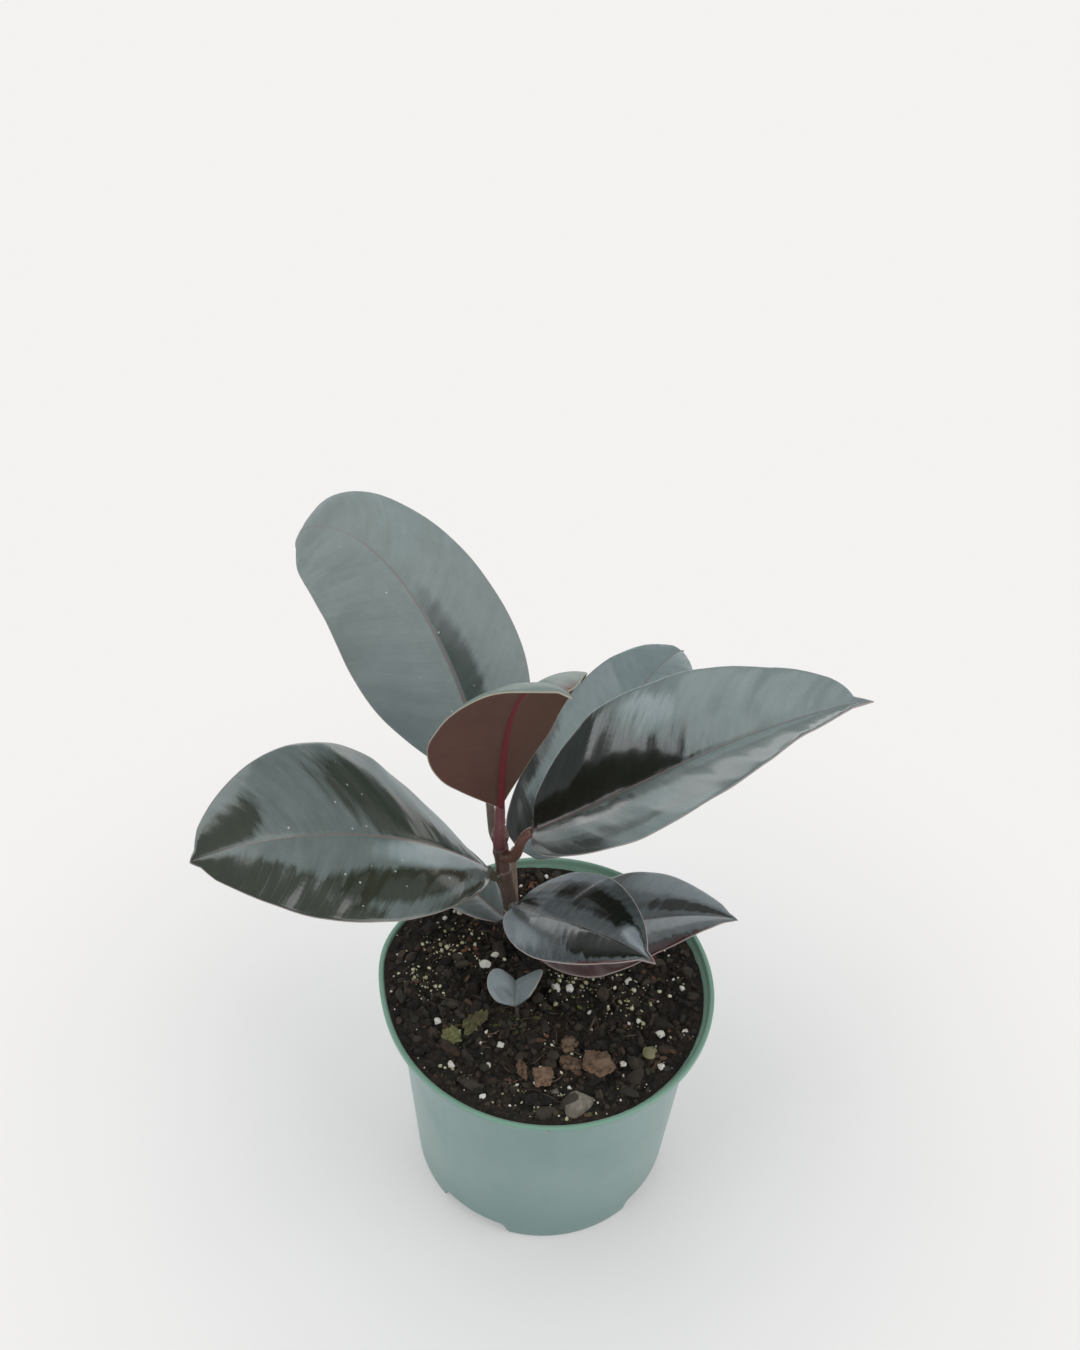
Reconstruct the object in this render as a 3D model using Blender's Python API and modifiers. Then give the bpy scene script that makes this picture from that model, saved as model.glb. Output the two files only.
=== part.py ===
"""Young rubber plant (Ficus elastica) in a round nursery pot.

Metres, +Z up. The origin is the centre of the pot's underside, which rests on z = 0.
The pot, the potting mix, the stem, each leaf with its stalk, the bud sheath and the
larger loose bits on the mix are separate closed solids with a small gap between them.
"""

import math
from dataclasses import dataclass

import bmesh
import bpy
from mathutils import Matrix, Vector, noise

MM = 0.001
GAP = 0.3 * MM  # clearance between neighbouring solids
MERGE = 0.01 * MM

# Pot: a tapered round shell with a flared, flat-topped lip
POT_HEIGHT = 120 * MM
POT_FOOT_RADIUS = 62.5 * MM
POT_NECK_RADIUS = 70.2 * MM
POT_NECK_HEIGHT = 113.5 * MM
LIP_RADIUS = 78 * MM
LIP_WIDTH = 2.8 * MM
LIP_DEPTH = 2.4 * MM
WALL = 1.4 * MM
POT_STEPS = 64
FLOOR_RADIUS = 46 * MM
CHANNEL_RADIUS = 58.5 * MM
CHANNEL_HEIGHT = 6 * MM
FLOOR_THICKNESS = 1.6 * MM
NOTCH_COUNT = 4
NOTCH_FIRST_DEG = -119
NOTCH_WIDTH = 37 * MM
NOTCH_HEIGHT = 7 * MM
DRAIN_HOLE_RADIUS = 4 * MM
DRAIN_HOLE_CIRCLE = 52 * MM

# Potting mix: fills the pot and slopes gently down towards +X
MIX_HEIGHT = 115.5 * MM
MIX_SLOPE = 0.03

# Stem: rooted near the pot's centre, leaning to -X as it rises
STEM_ROOTED = 82 * MM
STEM_FOOT_HEIGHT = 113 * MM
STEM_TOP = 199 * MM
STEM_FOOT = (-10.5 * MM, 19 * MM)
STEM_LEAN = (-15 * MM, 3 * MM)
STEM_LEAN_HEIGHT = 83 * MM
STEM_LEAN_POWER = 1.6
STEM_RADIUS_LOW = 3.9 * MM
STEM_RADIUS_TOP = 3.0 * MM
STEM_POINT_STEP = 3 * MM
JOINT_SWELL = 0.5 * MM
JOINT_REACH = 2.5 * MM

BUD_LENGTH = 27 * MM
BUD_RADIUS = 2.2 * MM

# Leaf sections
RING_POINTS = 12
BLADE_THICKNESS = 1.0 * MM
RIB_DEPTH = 1.2 * MM
RIB_HALF_WIDTH = 2.2 * MM
STALK_FLARE = 1.25  # how much wider the stalk is where it leaves the stem
MIDRIB_STEPS = 200
BLADE_STATIONS = (
    0.01, 0.03, 0.06, 0.11, 0.18, 0.27, 0.36, 0.46, 0.56, 0.66, 0.76, 0.84, 0.9, 0.94, 0.97, 0.985,
)
STALK_STATIONS = (0.0, 0.25, 0.5, 0.75, 1.0)


@dataclass(frozen=True)
class Leaf:
    """One leaf: where its stalk leaves the stem, and how its blade is turned and curved.

    Lengths are in millimetres and angles in degrees. heading is the compass turn of the
    midrib, measured from +X towards +Y: at its start, at its tip, and its sideways bow.
    rise is the midrib's slope at its start, the slope it would end at, and the extra
    droop of the tip, which grows with the tip_power of the way along. roll turns the
    blade about its midrib. fold lifts each half at the midrib, and curl is the slope
    of the left and right half at the margin. stalk is the stalk's radius, the angle at
    which it leaves the stem above level, and how much of its length its upper bend takes.
    tip is the share of the length that the drip tip takes, and its half width at its root.
    A leaf with a foot grows out of the mix at that x and y instead of out of the stem.
    """

    name: str
    joint_height: float
    base: tuple
    length: float
    width: float
    heading: tuple
    rise: tuple
    roll: tuple
    fold: float
    curl: tuple
    widest: float
    base_blunt: float
    tip_blunt: float
    lopsided: float
    stalk: tuple
    tip: tuple = (0.05, 4.0)
    tip_power: int = 5
    foot: tuple | None = None


LEAVES = (
    Leaf("leaf_rear_left_tall", 193, (-32, 30.5, 218), 164, 74, (115, 163, -8), (58, 51, -143),
         (-31, -15), 0, (-22, -19), 0.84, 0.66, 0.24, 0.07, (1.8, 70, 0.3)),
    Leaf("leaf_young_cupped", 195.5, (-25.5, 17, 217.5), 133, 70, (-74, -62, -9), (90, 60, -48),
         (21, -11), 20, (-25, -22), 1.15, 0.81, 0.74, -0.145, (2.1, 75, 0.35), tip_power=3),
    Leaf("leaf_right_large", 185, (-11, 8.5, 213), 156, 83, (-5, -14, -19), (37, 23, 7),
         (4, -7), 23, (11, 11), 0.81, 0.59, 0.58, 0.03, (2.2, 35, 0.3), (0.051, 6.9)),
    Leaf("leaf_rear_right", 146, (-19, 35, 171), 150, 68, (41, 52.5, -16), (21, 6, -29.5),
         (-11, 14), 15, (-8, -7), 0.82, 0.48, 0.58, -0.13, (1.9, 65, 0.12), (0.015, 2.0)),
    Leaf("leaf_left_large", 171, (-30, 16, 178), 153.7, 85, (217, 214.5, 6), (55, 4, -3),
         (1, -33), 8, (-9, -10), 1.08, 0.68, 0.66, -0.07, (1.9, 20, 0.35), (0.021, 6.9)),
    Leaf("leaf_front_small", 145, (-17, 7.5, 164.5), 84.5, 49, (-49, -45, -11), (33, 8, -1),
         (11, 13), 21, (4, 3), 0.97, 0.56, 0.75, 0.01, (1.5, 50, 0.35), (0.078, 5.2)),
    Leaf("leaf_right_small", 124, (-7.5, 11.5, 133), 101.5, 56, (-9, -25, -10), (33, 24, -9),
         (9, -6), 14, (-2, -3), 0.93, 0.65, 0.89, -0.03, (1.5, 30, 0.35), (0.043, 5.5)),
    Leaf("leaf_rear_low", 129, (-21.5, 24.5, 132.5), 73, 38, (153, 154, -1), (30, 11, 0),
         (10, 11), 14, (-4, -4), 1.02, 0.64, 0.6, 0.0, (1.3, 30, 0.35), (0.05, 3.0)),
    Leaf("leaf_basal_tiny", 0, (-13.9, -16.5, 119.7), 19, 31, (101, 97, 5), (31.5, -44.5, 2.5),
         (-23, 12.5), 44.5, (22, 31), 1.18, 0.56, 0.31, -0.03, (0.9, 90, 0.35), (0.05, 2.0),
         tip_power=3, foot=(-13.4, -18)),
)

# Loose bits on the mix: name, kind, centre x and y, full size along x, y and z, turn in degrees
LOOSE_BITS = (
    ("bark_chip_1", "bark", 25, -41, 13, 12, 4.5, 12),
    ("bark_chip_2", "bark", 12.5, -40.5, 11, 7, 3.5, -8),
    ("bark_chip_3", "bark", 0, -50, 9.5, 9, 4, 25),
    ("bark_chip_4", "bark", -9.5, -46.5, 5, 9.5, 3.5, 10),
    ("bark_chip_5", "bark", 11, -30.5, 8, 7, 3, 80),
    ("stone_grey", "stone", 16.5, -63.5, 13, 10, 5, 30),
    ("pebble_olive", "pebble", 47.5, -32.5, 7, 7, 4, 0),
    ("pebble_grey", "stone", 5.5, -56, 3.6, 3.6, 3, 0),
    ("leaf_litter_1", "litter", -33, -22.5, 8, 15, 3, -30),
    ("leaf_litter_2", "litter", -42, -32, 8, 9, 3, 10),
    ("perlite_1", "perlite", -30.5, 9, 6, 4, 3.5, -20),
    ("perlite_2", "perlite", -49.5, -24.5, 3.4, 3.4, 3, 0),
    ("perlite_3", "perlite", -20, -34.5, 3.4, 3.2, 3, 30),
    ("perlite_4", "perlite", -41, -47.5, 3.6, 3.4, 3, 50),
    ("perlite_5", "perlite", 52.5, -21.5, 3.8, 3.8, 3, 15),
    ("perlite_6", "perlite", 35.5, -38.5, 3.6, 3.4, 2.6, 70),
    ("perlite_7", "perlite", 3.5, 0, 4.8, 4.4, 3.4, 40),
    ("perlite_8", "perlite", 52.5, -40.5, 3.6, 3.4, 3, 5),
    ("perlite_9", "perlite", 37.5, 7, 3.8, 4, 3, 25),
    ("perlite_10", "perlite", 10, 0, 4.2, 3.8, 3, 60),
    ("perlite_11", "perlite", -26, 15.5, 4.2, 3, 2.6, 20),
    ("perlite_12", "perlite", 63.5, -20, 3.2, 3, 2.6, 0),
)

# Material values: colour, roughness
POT_GREEN = ((0.17, 0.29, 0.25), 0.5)
MIX_BROWN = ((0.022, 0.016, 0.012), 0.95)
STEM_BROWN = ((0.07, 0.04, 0.03), 0.5)
LEAF_GREEN = ((0.02, 0.045, 0.03), 0.2)
YOUNG_LEAF = ((0.11, 0.035, 0.025), 0.35)
BUD_RED = ((0.35, 0.05, 0.06), 0.4)
KIND_COLOURS = {
    "bark": ((0.2, 0.11, 0.07), 0.9),
    "stone": ((0.25, 0.24, 0.21), 0.8),
    "pebble": ((0.22, 0.21, 0.12), 0.7),
    "litter": ((0.2, 0.21, 0.09), 0.85),
    "perlite": ((0.85, 0.84, 0.78), 0.9),
}


def clear_scene():
    """Removes what a new file starts with."""
    for item in list(bpy.data.objects):
        bpy.data.objects.remove(item, do_unlink=True)


def collection(name):
    """Makes a collection in the scene."""
    made = bpy.data.collections.new(name)
    bpy.context.scene.collection.children.link(made)
    return made


def principled(name, look):
    """Makes a material from a (colour, roughness) pair."""
    colour, roughness = look
    material = bpy.data.materials.new(name)
    material.use_nodes = True
    shader = material.node_tree.nodes["Principled BSDF"]
    shader.inputs["Base Color"].default_value = (*colour, 1.0)
    shader.inputs["Roughness"].default_value = roughness
    return material


def place(mesh, name, group, material=None, smooth_angle=None):
    """Links a mesh as an object, with its material and shading."""
    part = bpy.data.objects.new(name, mesh)
    group.objects.link(part)
    if material is not None:
        mesh.materials.append(material)
    if smooth_angle is not None:
        mesh.shade_smooth()
        mesh.set_sharp_from_angle(angle=math.radians(smooth_angle))
    return part


def mesh_of(work, name):
    """Turns a bmesh into a mesh with its faces pointing out."""
    bmesh.ops.recalc_face_normals(work, faces=work.faces)
    mesh = bpy.data.meshes.new(name)
    work.to_mesh(mesh)
    work.free()
    return mesh


def turned(name, profile, group, material, steps=POT_STEPS):
    """A solid of revolution about Z from (radius, height) points running down its outer side."""
    mesh = bpy.data.meshes.new(name)
    points = [(radius, 0.0, height) for radius, height in profile]
    mesh.from_pydata(points, [(i, i + 1) for i in range(len(points) - 1)], [])
    part = place(mesh, name, group, material)
    screw = part.modifiers.new("turn", "SCREW")
    screw.axis = "Z"
    screw.steps = steps
    screw.render_steps = steps
    screw.use_merge_vertices = True
    screw.merge_threshold = MERGE
    screw.use_smooth_shade = True
    return part


def baked(part):
    """Replaces an object's mesh with its evaluated, welded one, and drops its modifiers."""
    graph = bpy.context.evaluated_depsgraph_get()
    mesh = bpy.data.meshes.new_from_object(part.evaluated_get(graph))
    work = bmesh.new()
    work.from_mesh(mesh)
    bmesh.ops.remove_doubles(work, verts=work.verts, dist=MERGE)
    bmesh.ops.recalc_face_normals(work, faces=work.faces)
    work.to_mesh(mesh)
    work.free()
    part.modifiers.clear()
    part.data = mesh
    return part


def cut(part, cutter, label):
    """Cuts one object out of another."""
    cutter.hide_render = True
    cutter.display_type = "WIRE"
    step = part.modifiers.new(label, "BOOLEAN")
    step.operation = "DIFFERENCE"
    step.solver = "EXACT"
    step.object = cutter


def wall_radius(height):
    """Outer radius of the pot's tapered wall."""
    share = height / POT_NECK_HEIGHT
    return POT_FOOT_RADIUS + (POT_NECK_RADIUS - POT_FOOT_RADIUS) * share


def pot_profile():
    """(radius, height) round the section: under the lip, down the wall, under the floor, up inside."""
    top = POT_HEIGHT
    neck = POT_NECK_HEIGHT
    soft = 0.6 * MM
    foot = 2.0 * MM
    flare_radius = LIP_RADIUS - LIP_WIDTH
    outside = [
        (LIP_RADIUS - soft, top),
        (LIP_RADIUS, top - soft),
        (LIP_RADIUS, top - LIP_DEPTH + soft / 2),
        (LIP_RADIUS - soft, top - LIP_DEPTH),
        (flare_radius, top - LIP_DEPTH - 1.0 * MM),
        (POT_NECK_RADIUS + 0.9 * MM, neck + 0.8 * MM),
        (POT_NECK_RADIUS, neck - 1.0 * MM),
        (wall_radius(foot) - 0.1 * MM, foot),
        (POT_FOOT_RADIUS - foot / 3, foot / 4),
        (POT_FOOT_RADIUS - foot, 0.0),
    ]
    underside = [
        (CHANNEL_RADIUS, 0.0),
        (CHANNEL_RADIUS - 0.4 * MM, CHANNEL_HEIGHT),
        (FLOOR_RADIUS + 1.5 * MM, CHANNEL_HEIGHT),
        (FLOOR_RADIUS, 0.0),
        (0.0, 0.0),
    ]
    floor_up = FLOOR_THICKNESS
    inside = [
        (0.0, floor_up),
        (FLOOR_RADIUS - floor_up, floor_up),
        (FLOOR_RADIUS + 1.5 * MM - floor_up, CHANNEL_HEIGHT + floor_up),
        (wall_radius(CHANNEL_HEIGHT) - WALL - foot, CHANNEL_HEIGHT + floor_up),
        (wall_radius(CHANNEL_HEIGHT) - WALL, CHANNEL_HEIGHT + floor_up + foot),
        (POT_NECK_RADIUS - WALL, neck - 0.6 * MM),
        (flare_radius - 0.9 * MM, top - LIP_DEPTH + 0.6 * MM),
        (flare_radius - 0.2 * MM, top - soft),
        (flare_radius + soft / 2, top),
        (LIP_RADIUS - soft, top),
    ]
    return outside + underside + inside


def notch_cutter(turn_deg, index, cutters):
    """A round-shouldered block that opens the foot ring for drainage."""
    bpy.ops.mesh.primitive_cube_add(size=1)
    block = bpy.context.object
    block.name = f"notch_cutter_{index}"
    reach = 14 * MM
    block.data.transform(Matrix.Diagonal((reach, NOTCH_WIDTH, 2 * NOTCH_HEIGHT, 1)))
    block.location = Vector((POT_FOOT_RADIUS * 0.98, 0, 0))
    block.location.rotate(Matrix.Rotation(math.radians(turn_deg), 3, "Z"))
    block.rotation_euler.z = math.radians(turn_deg)
    shoulder = block.modifiers.new("shoulder", "BEVEL")
    shoulder.width = NOTCH_HEIGHT * 0.6
    shoulder.segments = 3
    move_to(block, cutters)
    return block


def drain_hole_cutter(turn_deg, index, cutters):
    """A drill for one hole through the raised floor channel."""
    bpy.ops.mesh.primitive_cylinder_add(vertices=16, radius=DRAIN_HOLE_RADIUS, depth=12 * MM)
    drill = bpy.context.object
    drill.name = f"drain_cutter_{index}"
    angle = math.radians(turn_deg)
    drill.location = (
        DRAIN_HOLE_CIRCLE * math.cos(angle),
        DRAIN_HOLE_CIRCLE * math.sin(angle),
        CHANNEL_HEIGHT + FLOOR_THICKNESS / 2,
    )
    move_to(drill, cutters)
    return drill


def move_to(item, group):
    """Moves an object that an operator made into one collection."""
    for owner in list(item.users_collection):
        owner.objects.unlink(item)
    group.objects.link(item)


def build_pot(group, cutters):
    """The nursery pot, with drainage notches in its foot ring and holes in the raised floor channel."""
    pot = turned("pot", pot_profile(), group, principled("pot_plastic", POT_GREEN))
    baked(pot)
    spacing = 360 / NOTCH_COUNT
    for index in range(NOTCH_COUNT):
        turn = NOTCH_FIRST_DEG + spacing * index
        cut(pot, notch_cutter(turn, index + 1, cutters), f"notch_{index + 1}")
        cut(pot, drain_hole_cutter(turn, index + 1, cutters), f"drain_hole_{index + 1}")
    return pot


def mix_surface(x):
    """Height of the potting mix at a distance along X."""
    return MIX_HEIGHT - MIX_SLOPE * x


def build_mix(group, cutters):
    """The potting mix: it follows the pot's inside, its top slopes, and the stem is rooted in it."""
    floor_up = CHANNEL_HEIGHT + FLOOR_THICKNESS + GAP
    flare_radius = LIP_RADIUS - LIP_WIDTH - 0.9 * MM
    profile = [
        (0.0, POT_HEIGHT),
        (flare_radius - 0.6 * MM, POT_HEIGHT),
        (flare_radius - 0.6 * MM, POT_HEIGHT - LIP_DEPTH + 0.6 * MM),
        (POT_NECK_RADIUS - WALL - 0.4 * MM, POT_NECK_HEIGHT - 0.4 * MM),
        (wall_radius(CHANNEL_HEIGHT) - WALL - 0.4 * MM, floor_up + 2.1 * MM),
        (wall_radius(CHANNEL_HEIGHT) - WALL - 2.2 * MM, floor_up),
        (0.0, floor_up),
    ]
    mix = turned("potting_mix", profile, group, principled("potting_mix", MIX_BROWN))
    baked(mix)
    bpy.ops.mesh.primitive_cube_add(size=1)
    sky = bpy.context.object
    sky.name = "mix_top_cutter"
    depth = 60 * MM
    sky.data.transform(Matrix.Diagonal((4 * LIP_RADIUS, 4 * LIP_RADIUS, depth, 1)))
    sky.location = (0, 0, MIX_HEIGHT + depth / 2)
    sky.rotation_euler.y = math.atan(MIX_SLOPE)
    move_to(sky, cutters)
    cut(mix, sky, "sloping_top")
    hole = stem_tube("stem_hole_cutter", cutters, None, grow=GAP)
    cut(mix, hole, "stem_hole")
    return mix


def stem_point(height):
    """Centre of the stem at a height."""
    share = (height - STEM_FOOT_HEIGHT) / STEM_LEAN_HEIGHT
    bend = 1 - max(0.0, 1 - share) ** STEM_LEAN_POWER
    return Vector((STEM_FOOT[0] + STEM_LEAN[0] * bend, STEM_FOOT[1] + STEM_LEAN[1] * share, height))


def stem_radius(height):
    """Radius of the stem at a height, with a swelling at each leaf joint and a tapered rooted end."""
    share = min(1.0, max(0.0, (height - STEM_FOOT_HEIGHT) / (STEM_TOP - STEM_FOOT_HEIGHT)))
    radius = STEM_RADIUS_LOW + (STEM_RADIUS_TOP - STEM_RADIUS_LOW) * share
    for leaf in LEAVES:
        if leaf.foot is not None:
            continue
        away = (height - leaf.joint_height * MM) / JOINT_REACH
        radius += JOINT_SWELL * math.exp(-away * away)
    return radius


def tube(name, points, radii, group, material, resolution=2):
    """A round tube along points, as a closed welded mesh."""
    line = bpy.data.curves.new(name, "CURVE")
    line.dimensions = "3D"
    line.bevel_depth = 1.0
    line.bevel_resolution = resolution
    line.use_fill_caps = True
    spline = line.splines.new("POLY")
    spline.points.add(len(points) - 1)
    for knot, point, radius in zip(spline.points, points, radii):
        knot.co = (*point, 1)
        knot.radius = radius
    guide = bpy.data.objects.new(name + "_line", line)
    bpy.context.scene.collection.objects.link(guide)
    graph = bpy.context.evaluated_depsgraph_get()
    mesh = bpy.data.meshes.new_from_object(guide.evaluated_get(graph))
    bpy.data.objects.remove(guide)
    work = bmesh.new()
    work.from_mesh(mesh)
    bmesh.ops.remove_doubles(work, verts=work.verts, dist=MERGE)
    bmesh.ops.recalc_face_normals(work, faces=work.faces)
    work.to_mesh(mesh)
    work.free()
    mesh.name = name
    return place(mesh, name, group, material, smooth_angle=50)


def stem_tube(name, group, material, grow=0.0):
    """The stem's tube, or with grow a cutter that leaves a clearance round it."""
    count = round((STEM_TOP - STEM_ROOTED) / STEM_POINT_STEP)
    low = STEM_ROOTED - grow
    high = STEM_TOP + grow
    heights = [low + (high - low) * i / count for i in range(count + 1)]
    points = [stem_point(height) for height in heights]
    radii = [stem_radius(height) + grow for height in heights]
    radii[0] *= 0.6
    return tube(name, points, radii, group, material)


def build_stem(group):
    """The stem, from its rooted end to its growing tip."""
    return stem_tube("stem", group, principled("stem_bark", STEM_BROWN))


def build_bud(group):
    """The pointed sheath round the next leaf, standing on the stem's tip."""
    foot = stem_point(STEM_TOP)
    lean = (stem_point(STEM_TOP) - stem_point(STEM_TOP - 5 * MM)).normalized()
    stations = (0.0, 0.1, 0.3, 0.5, 0.7, 0.88, 1.0)
    fullness = (0.9, 1.0, 0.97, 0.82, 0.58, 0.3, 0.08)
    points = [foot + lean * (GAP * 2 + BUD_LENGTH * share) for share in stations]
    radii = [BUD_RADIUS * share for share in fullness]
    return tube("bud_sheath", points, radii, group, principled("bud_sheath", BUD_RED))


def half_width(leaf, share):
    """Half the blade's width at a share of its length, with a narrow drip tip."""
    tip_share, tip_half_width = leaf.tip
    body_share = min(1.0, share / (1 - tip_share))
    blunt = leaf.base_blunt + (leaf.tip_blunt - leaf.base_blunt) * share
    body = max(0.0, math.sin(math.pi * body_share**leaf.widest)) ** blunt
    along = min(1.0, max(0.0, (1 - share) / (2.2 * tip_share)))
    tip = 2 * tip_half_width / leaf.width * along**0.8 * min(1.0, share / 0.3)
    return leaf.width * MM / 2 * math.hypot(body, tip)


def midrib_frame(leaf, share):
    """Directions along, across and out of the blade's upper face at a share of its length."""
    start, end, bow = leaf.heading
    heading = math.radians(start + (end - start) * share + bow * 4 * share * (share - 1))
    start, end, droop = leaf.rise
    rise = math.radians(start + (end - start) * share + droop * share**leaf.tip_power)
    along = Vector((math.cos(rise) * math.cos(heading), math.cos(rise) * math.sin(heading), math.sin(rise)))
    level = Vector((-math.sin(heading), math.cos(heading), 0))
    up = along.cross(level)
    roll = math.radians(leaf.roll[0] + (leaf.roll[1] - leaf.roll[0]) * share)
    across = level * math.cos(roll) + up * math.sin(roll)
    return along, across, along.cross(across)


def midrib_points(leaf):
    """Points along the midrib, from the blade's base to its tip."""
    step = leaf.length * MM / MIDRIB_STEPS
    points = [Vector(leaf.base) * MM]
    for index in range(MIDRIB_STEPS):
        along, _, _ = midrib_frame(leaf, (index + 0.5) / MIDRIB_STEPS)
        points.append(points[-1] + along * step)
    return points


def arc_reach(fold, curl, reach):
    """Sideways and upward run of a blade half whose slope goes from fold to curl, out to reach."""
    start = math.radians(fold)
    change = math.radians(curl - fold)
    if abs(change) < 1e-4:
        return reach * math.cos(start), reach * math.sin(start), start
    end = start + change * reach
    return (math.sin(end) - math.sin(start)) / change, (math.cos(start) - math.cos(end)) / change, end


def blade_ring(leaf, centre, share):
    """One closed section across the blade: over its upper face, then back under its midrib."""
    _, across, out = midrib_frame(leaf, share)
    half = half_width(leaf, share)
    thin = min(1.0, half / (5 * MM))
    ring = []
    for index in range(RING_POINTS):
        angle = 2 * math.pi * index / RING_POINTS
        side = math.cos(angle)
        hand = 1 if side >= 0 else -1
        curl = leaf.curl[0] if hand > 0 else leaf.curl[1]
        run, lift, slope = arc_reach(leaf.fold, curl, abs(side))
        reach = half * (1 + leaf.lopsided * hand)
        face = out * math.cos(slope) - across * (hand * math.sin(slope))
        depth = BLADE_THICKNESS / 2 * abs(math.sin(angle)) ** 0.6 * thin
        if math.sin(angle) < 0:
            rib = math.exp(-((side * half / RIB_HALF_WIDTH) ** 2))
            depth = -depth - RIB_DEPTH * rib * (1 - share) * thin
        ring.append(centre + across * (hand * run * reach) + out * (lift * reach) + face * depth)
    return ring


def stalk_start(leaf):
    """Where a leaf's stalk starts, and the way it points there: out of the stem, or up out of the mix."""
    if leaf.foot is not None:
        x, y = (value * MM for value in leaf.foot)
        return Vector((x, y, mix_surface(x) + 1.5 * GAP)), Vector((0, 0, 1))
    radius, rise, _ = leaf.stalk
    joint = stem_point(leaf.joint_height * MM)
    level = Vector((leaf.base[0] * MM - joint.x, leaf.base[1] * MM - joint.y, 0)).normalized()
    rise = math.radians(rise)
    reach = stem_radius(leaf.joint_height * MM) + GAP + radius * MM * STALK_FLARE * math.sin(rise)
    return joint + level * reach, level * math.cos(rise) + Vector((0, 0, math.sin(rise)))


def stalk_rings(leaf):
    """Round sections of the leaf stalk, from the stem's side to the blade."""
    stalk_radius, _, knee = leaf.stalk
    start, out = stalk_start(leaf)
    base = Vector(leaf.base) * MM
    along, across, _ = midrib_frame(leaf, 0.0)
    span = (base - start).length
    first = start + out * span * 0.35
    second = base - along * span * knee
    rings = []
    for share in STALK_STATIONS:
        rest = 1 - share
        centre = (start * rest**3 + first * 3 * rest**2 * share
                  + second * 3 * rest * share**2 + base * share**3)
        line = ((first - start) * 3 * rest**2 + (second - first) * 6 * rest * share
                + (base - second) * 3 * share**2).normalized()
        wide = (across - line * across.dot(line)).normalized()
        high = line.cross(wide)
        radius = stalk_radius * MM * (1 + (STALK_FLARE - 1) * rest**3)
        rings.append([centre + wide * (radius * math.cos(a)) + high * (radius * math.sin(a))
                      for a in (2 * math.pi * i / RING_POINTS for i in range(RING_POINTS))])
    return rings


def build_leaf(leaf, group, material):
    """One leaf: a loft from its round stalk through the blade's sections to the drip tip."""
    line = midrib_points(leaf)
    rings = stalk_rings(leaf)
    for share in BLADE_STATIONS:
        rings.append(blade_ring(leaf, line[round(share * MIDRIB_STEPS)], share))
    work = bmesh.new()
    loops = [[work.verts.new(point) for point in ring] for ring in rings]
    tip = work.verts.new(line[-1])
    work.faces.new(reversed(loops[0]))
    for near, far in zip(loops, loops[1:]):
        for index in range(RING_POINTS):
            after = (index + 1) % RING_POINTS
            work.faces.new((near[index], near[after], far[after], far[index]))
    for index in range(RING_POINTS):
        work.faces.new((loops[-1][index], loops[-1][(index + 1) % RING_POINTS], tip))
    return place(mesh_of(work, leaf.name), leaf.name, group, material, smooth_angle=50)


def build_leaves(group):
    """All leaves, each with its stalk."""
    grown = principled("leaf_green", LEAF_GREEN)
    young = principled("leaf_young", YOUNG_LEAF)
    for leaf in LEAVES:
        build_leaf(leaf, group, young if leaf.name == "leaf_young_cupped" else grown)


def build_loose_bit(bit, seed, group, material):
    """A small rough lump lying on the mix."""
    name, kind, x, y, size_x, size_y, size_z, turn = bit
    bpy.ops.mesh.primitive_ico_sphere_add(subdivisions=2, radius=0.5)
    lump = bpy.context.object
    lump.name = name
    rough = 0.1 if kind == "pebble" else 0.3
    for vertex in lump.data.vertices:
        away = vertex.co * 2.6 + Vector((seed * 3.1, seed * 1.7, 0))
        vertex.co *= 1 + rough * noise.noise(away)
    lump.data.transform(Matrix.Diagonal((size_x * MM, size_y * MM, size_z * MM, 1)))
    lump.data.transform(Matrix.Rotation(math.radians(turn), 4, "Z"))
    lump.data.transform(Matrix.Rotation(math.atan(MIX_SLOPE), 4, "Y"))
    lowest = min(v.co.z + MIX_SLOPE * v.co.x for v in lump.data.vertices)
    lump.data.transform(Matrix.Translation((x * MM, y * MM, mix_surface(x * MM) + GAP - lowest)))
    lump.data.materials.append(material)
    move_to(lump, group)
    return lump


def build_loose_bits(group):
    """Bark, stones, dead leaf and the larger perlite grains."""
    materials = {kind: principled(kind, look) for kind, look in KIND_COLOURS.items()}
    for seed, bit in enumerate(LOOSE_BITS, start=1):
        build_loose_bit(bit, seed, group, materials[bit[1]])


def main():
    """Builds the whole plant."""
    clear_scene()
    plant = collection("potted_rubber_plant")
    cutters = collection("cutters")
    build_pot(plant, cutters)
    build_mix(plant, cutters)
    build_stem(plant)
    build_bud(plant)
    build_leaves(plant)
    build_loose_bits(plant)


main()
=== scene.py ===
"""Looks of a young rubber plant growing in a round nursery pot.

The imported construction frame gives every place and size. Each sub-assembly of the plant is a class
with its sizes as fields: it models its meshes, dresses them, and puts them in place of the plain
construction solids. Lengths are in metres unless a name ends in _mm, and +Z is up.
"""

import logging
import math
from collections.abc import Sequence
from dataclasses import dataclass
from enum import Enum

import bpy
import numpy as np
from mathutils import Matrix, Vector, noise


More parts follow.
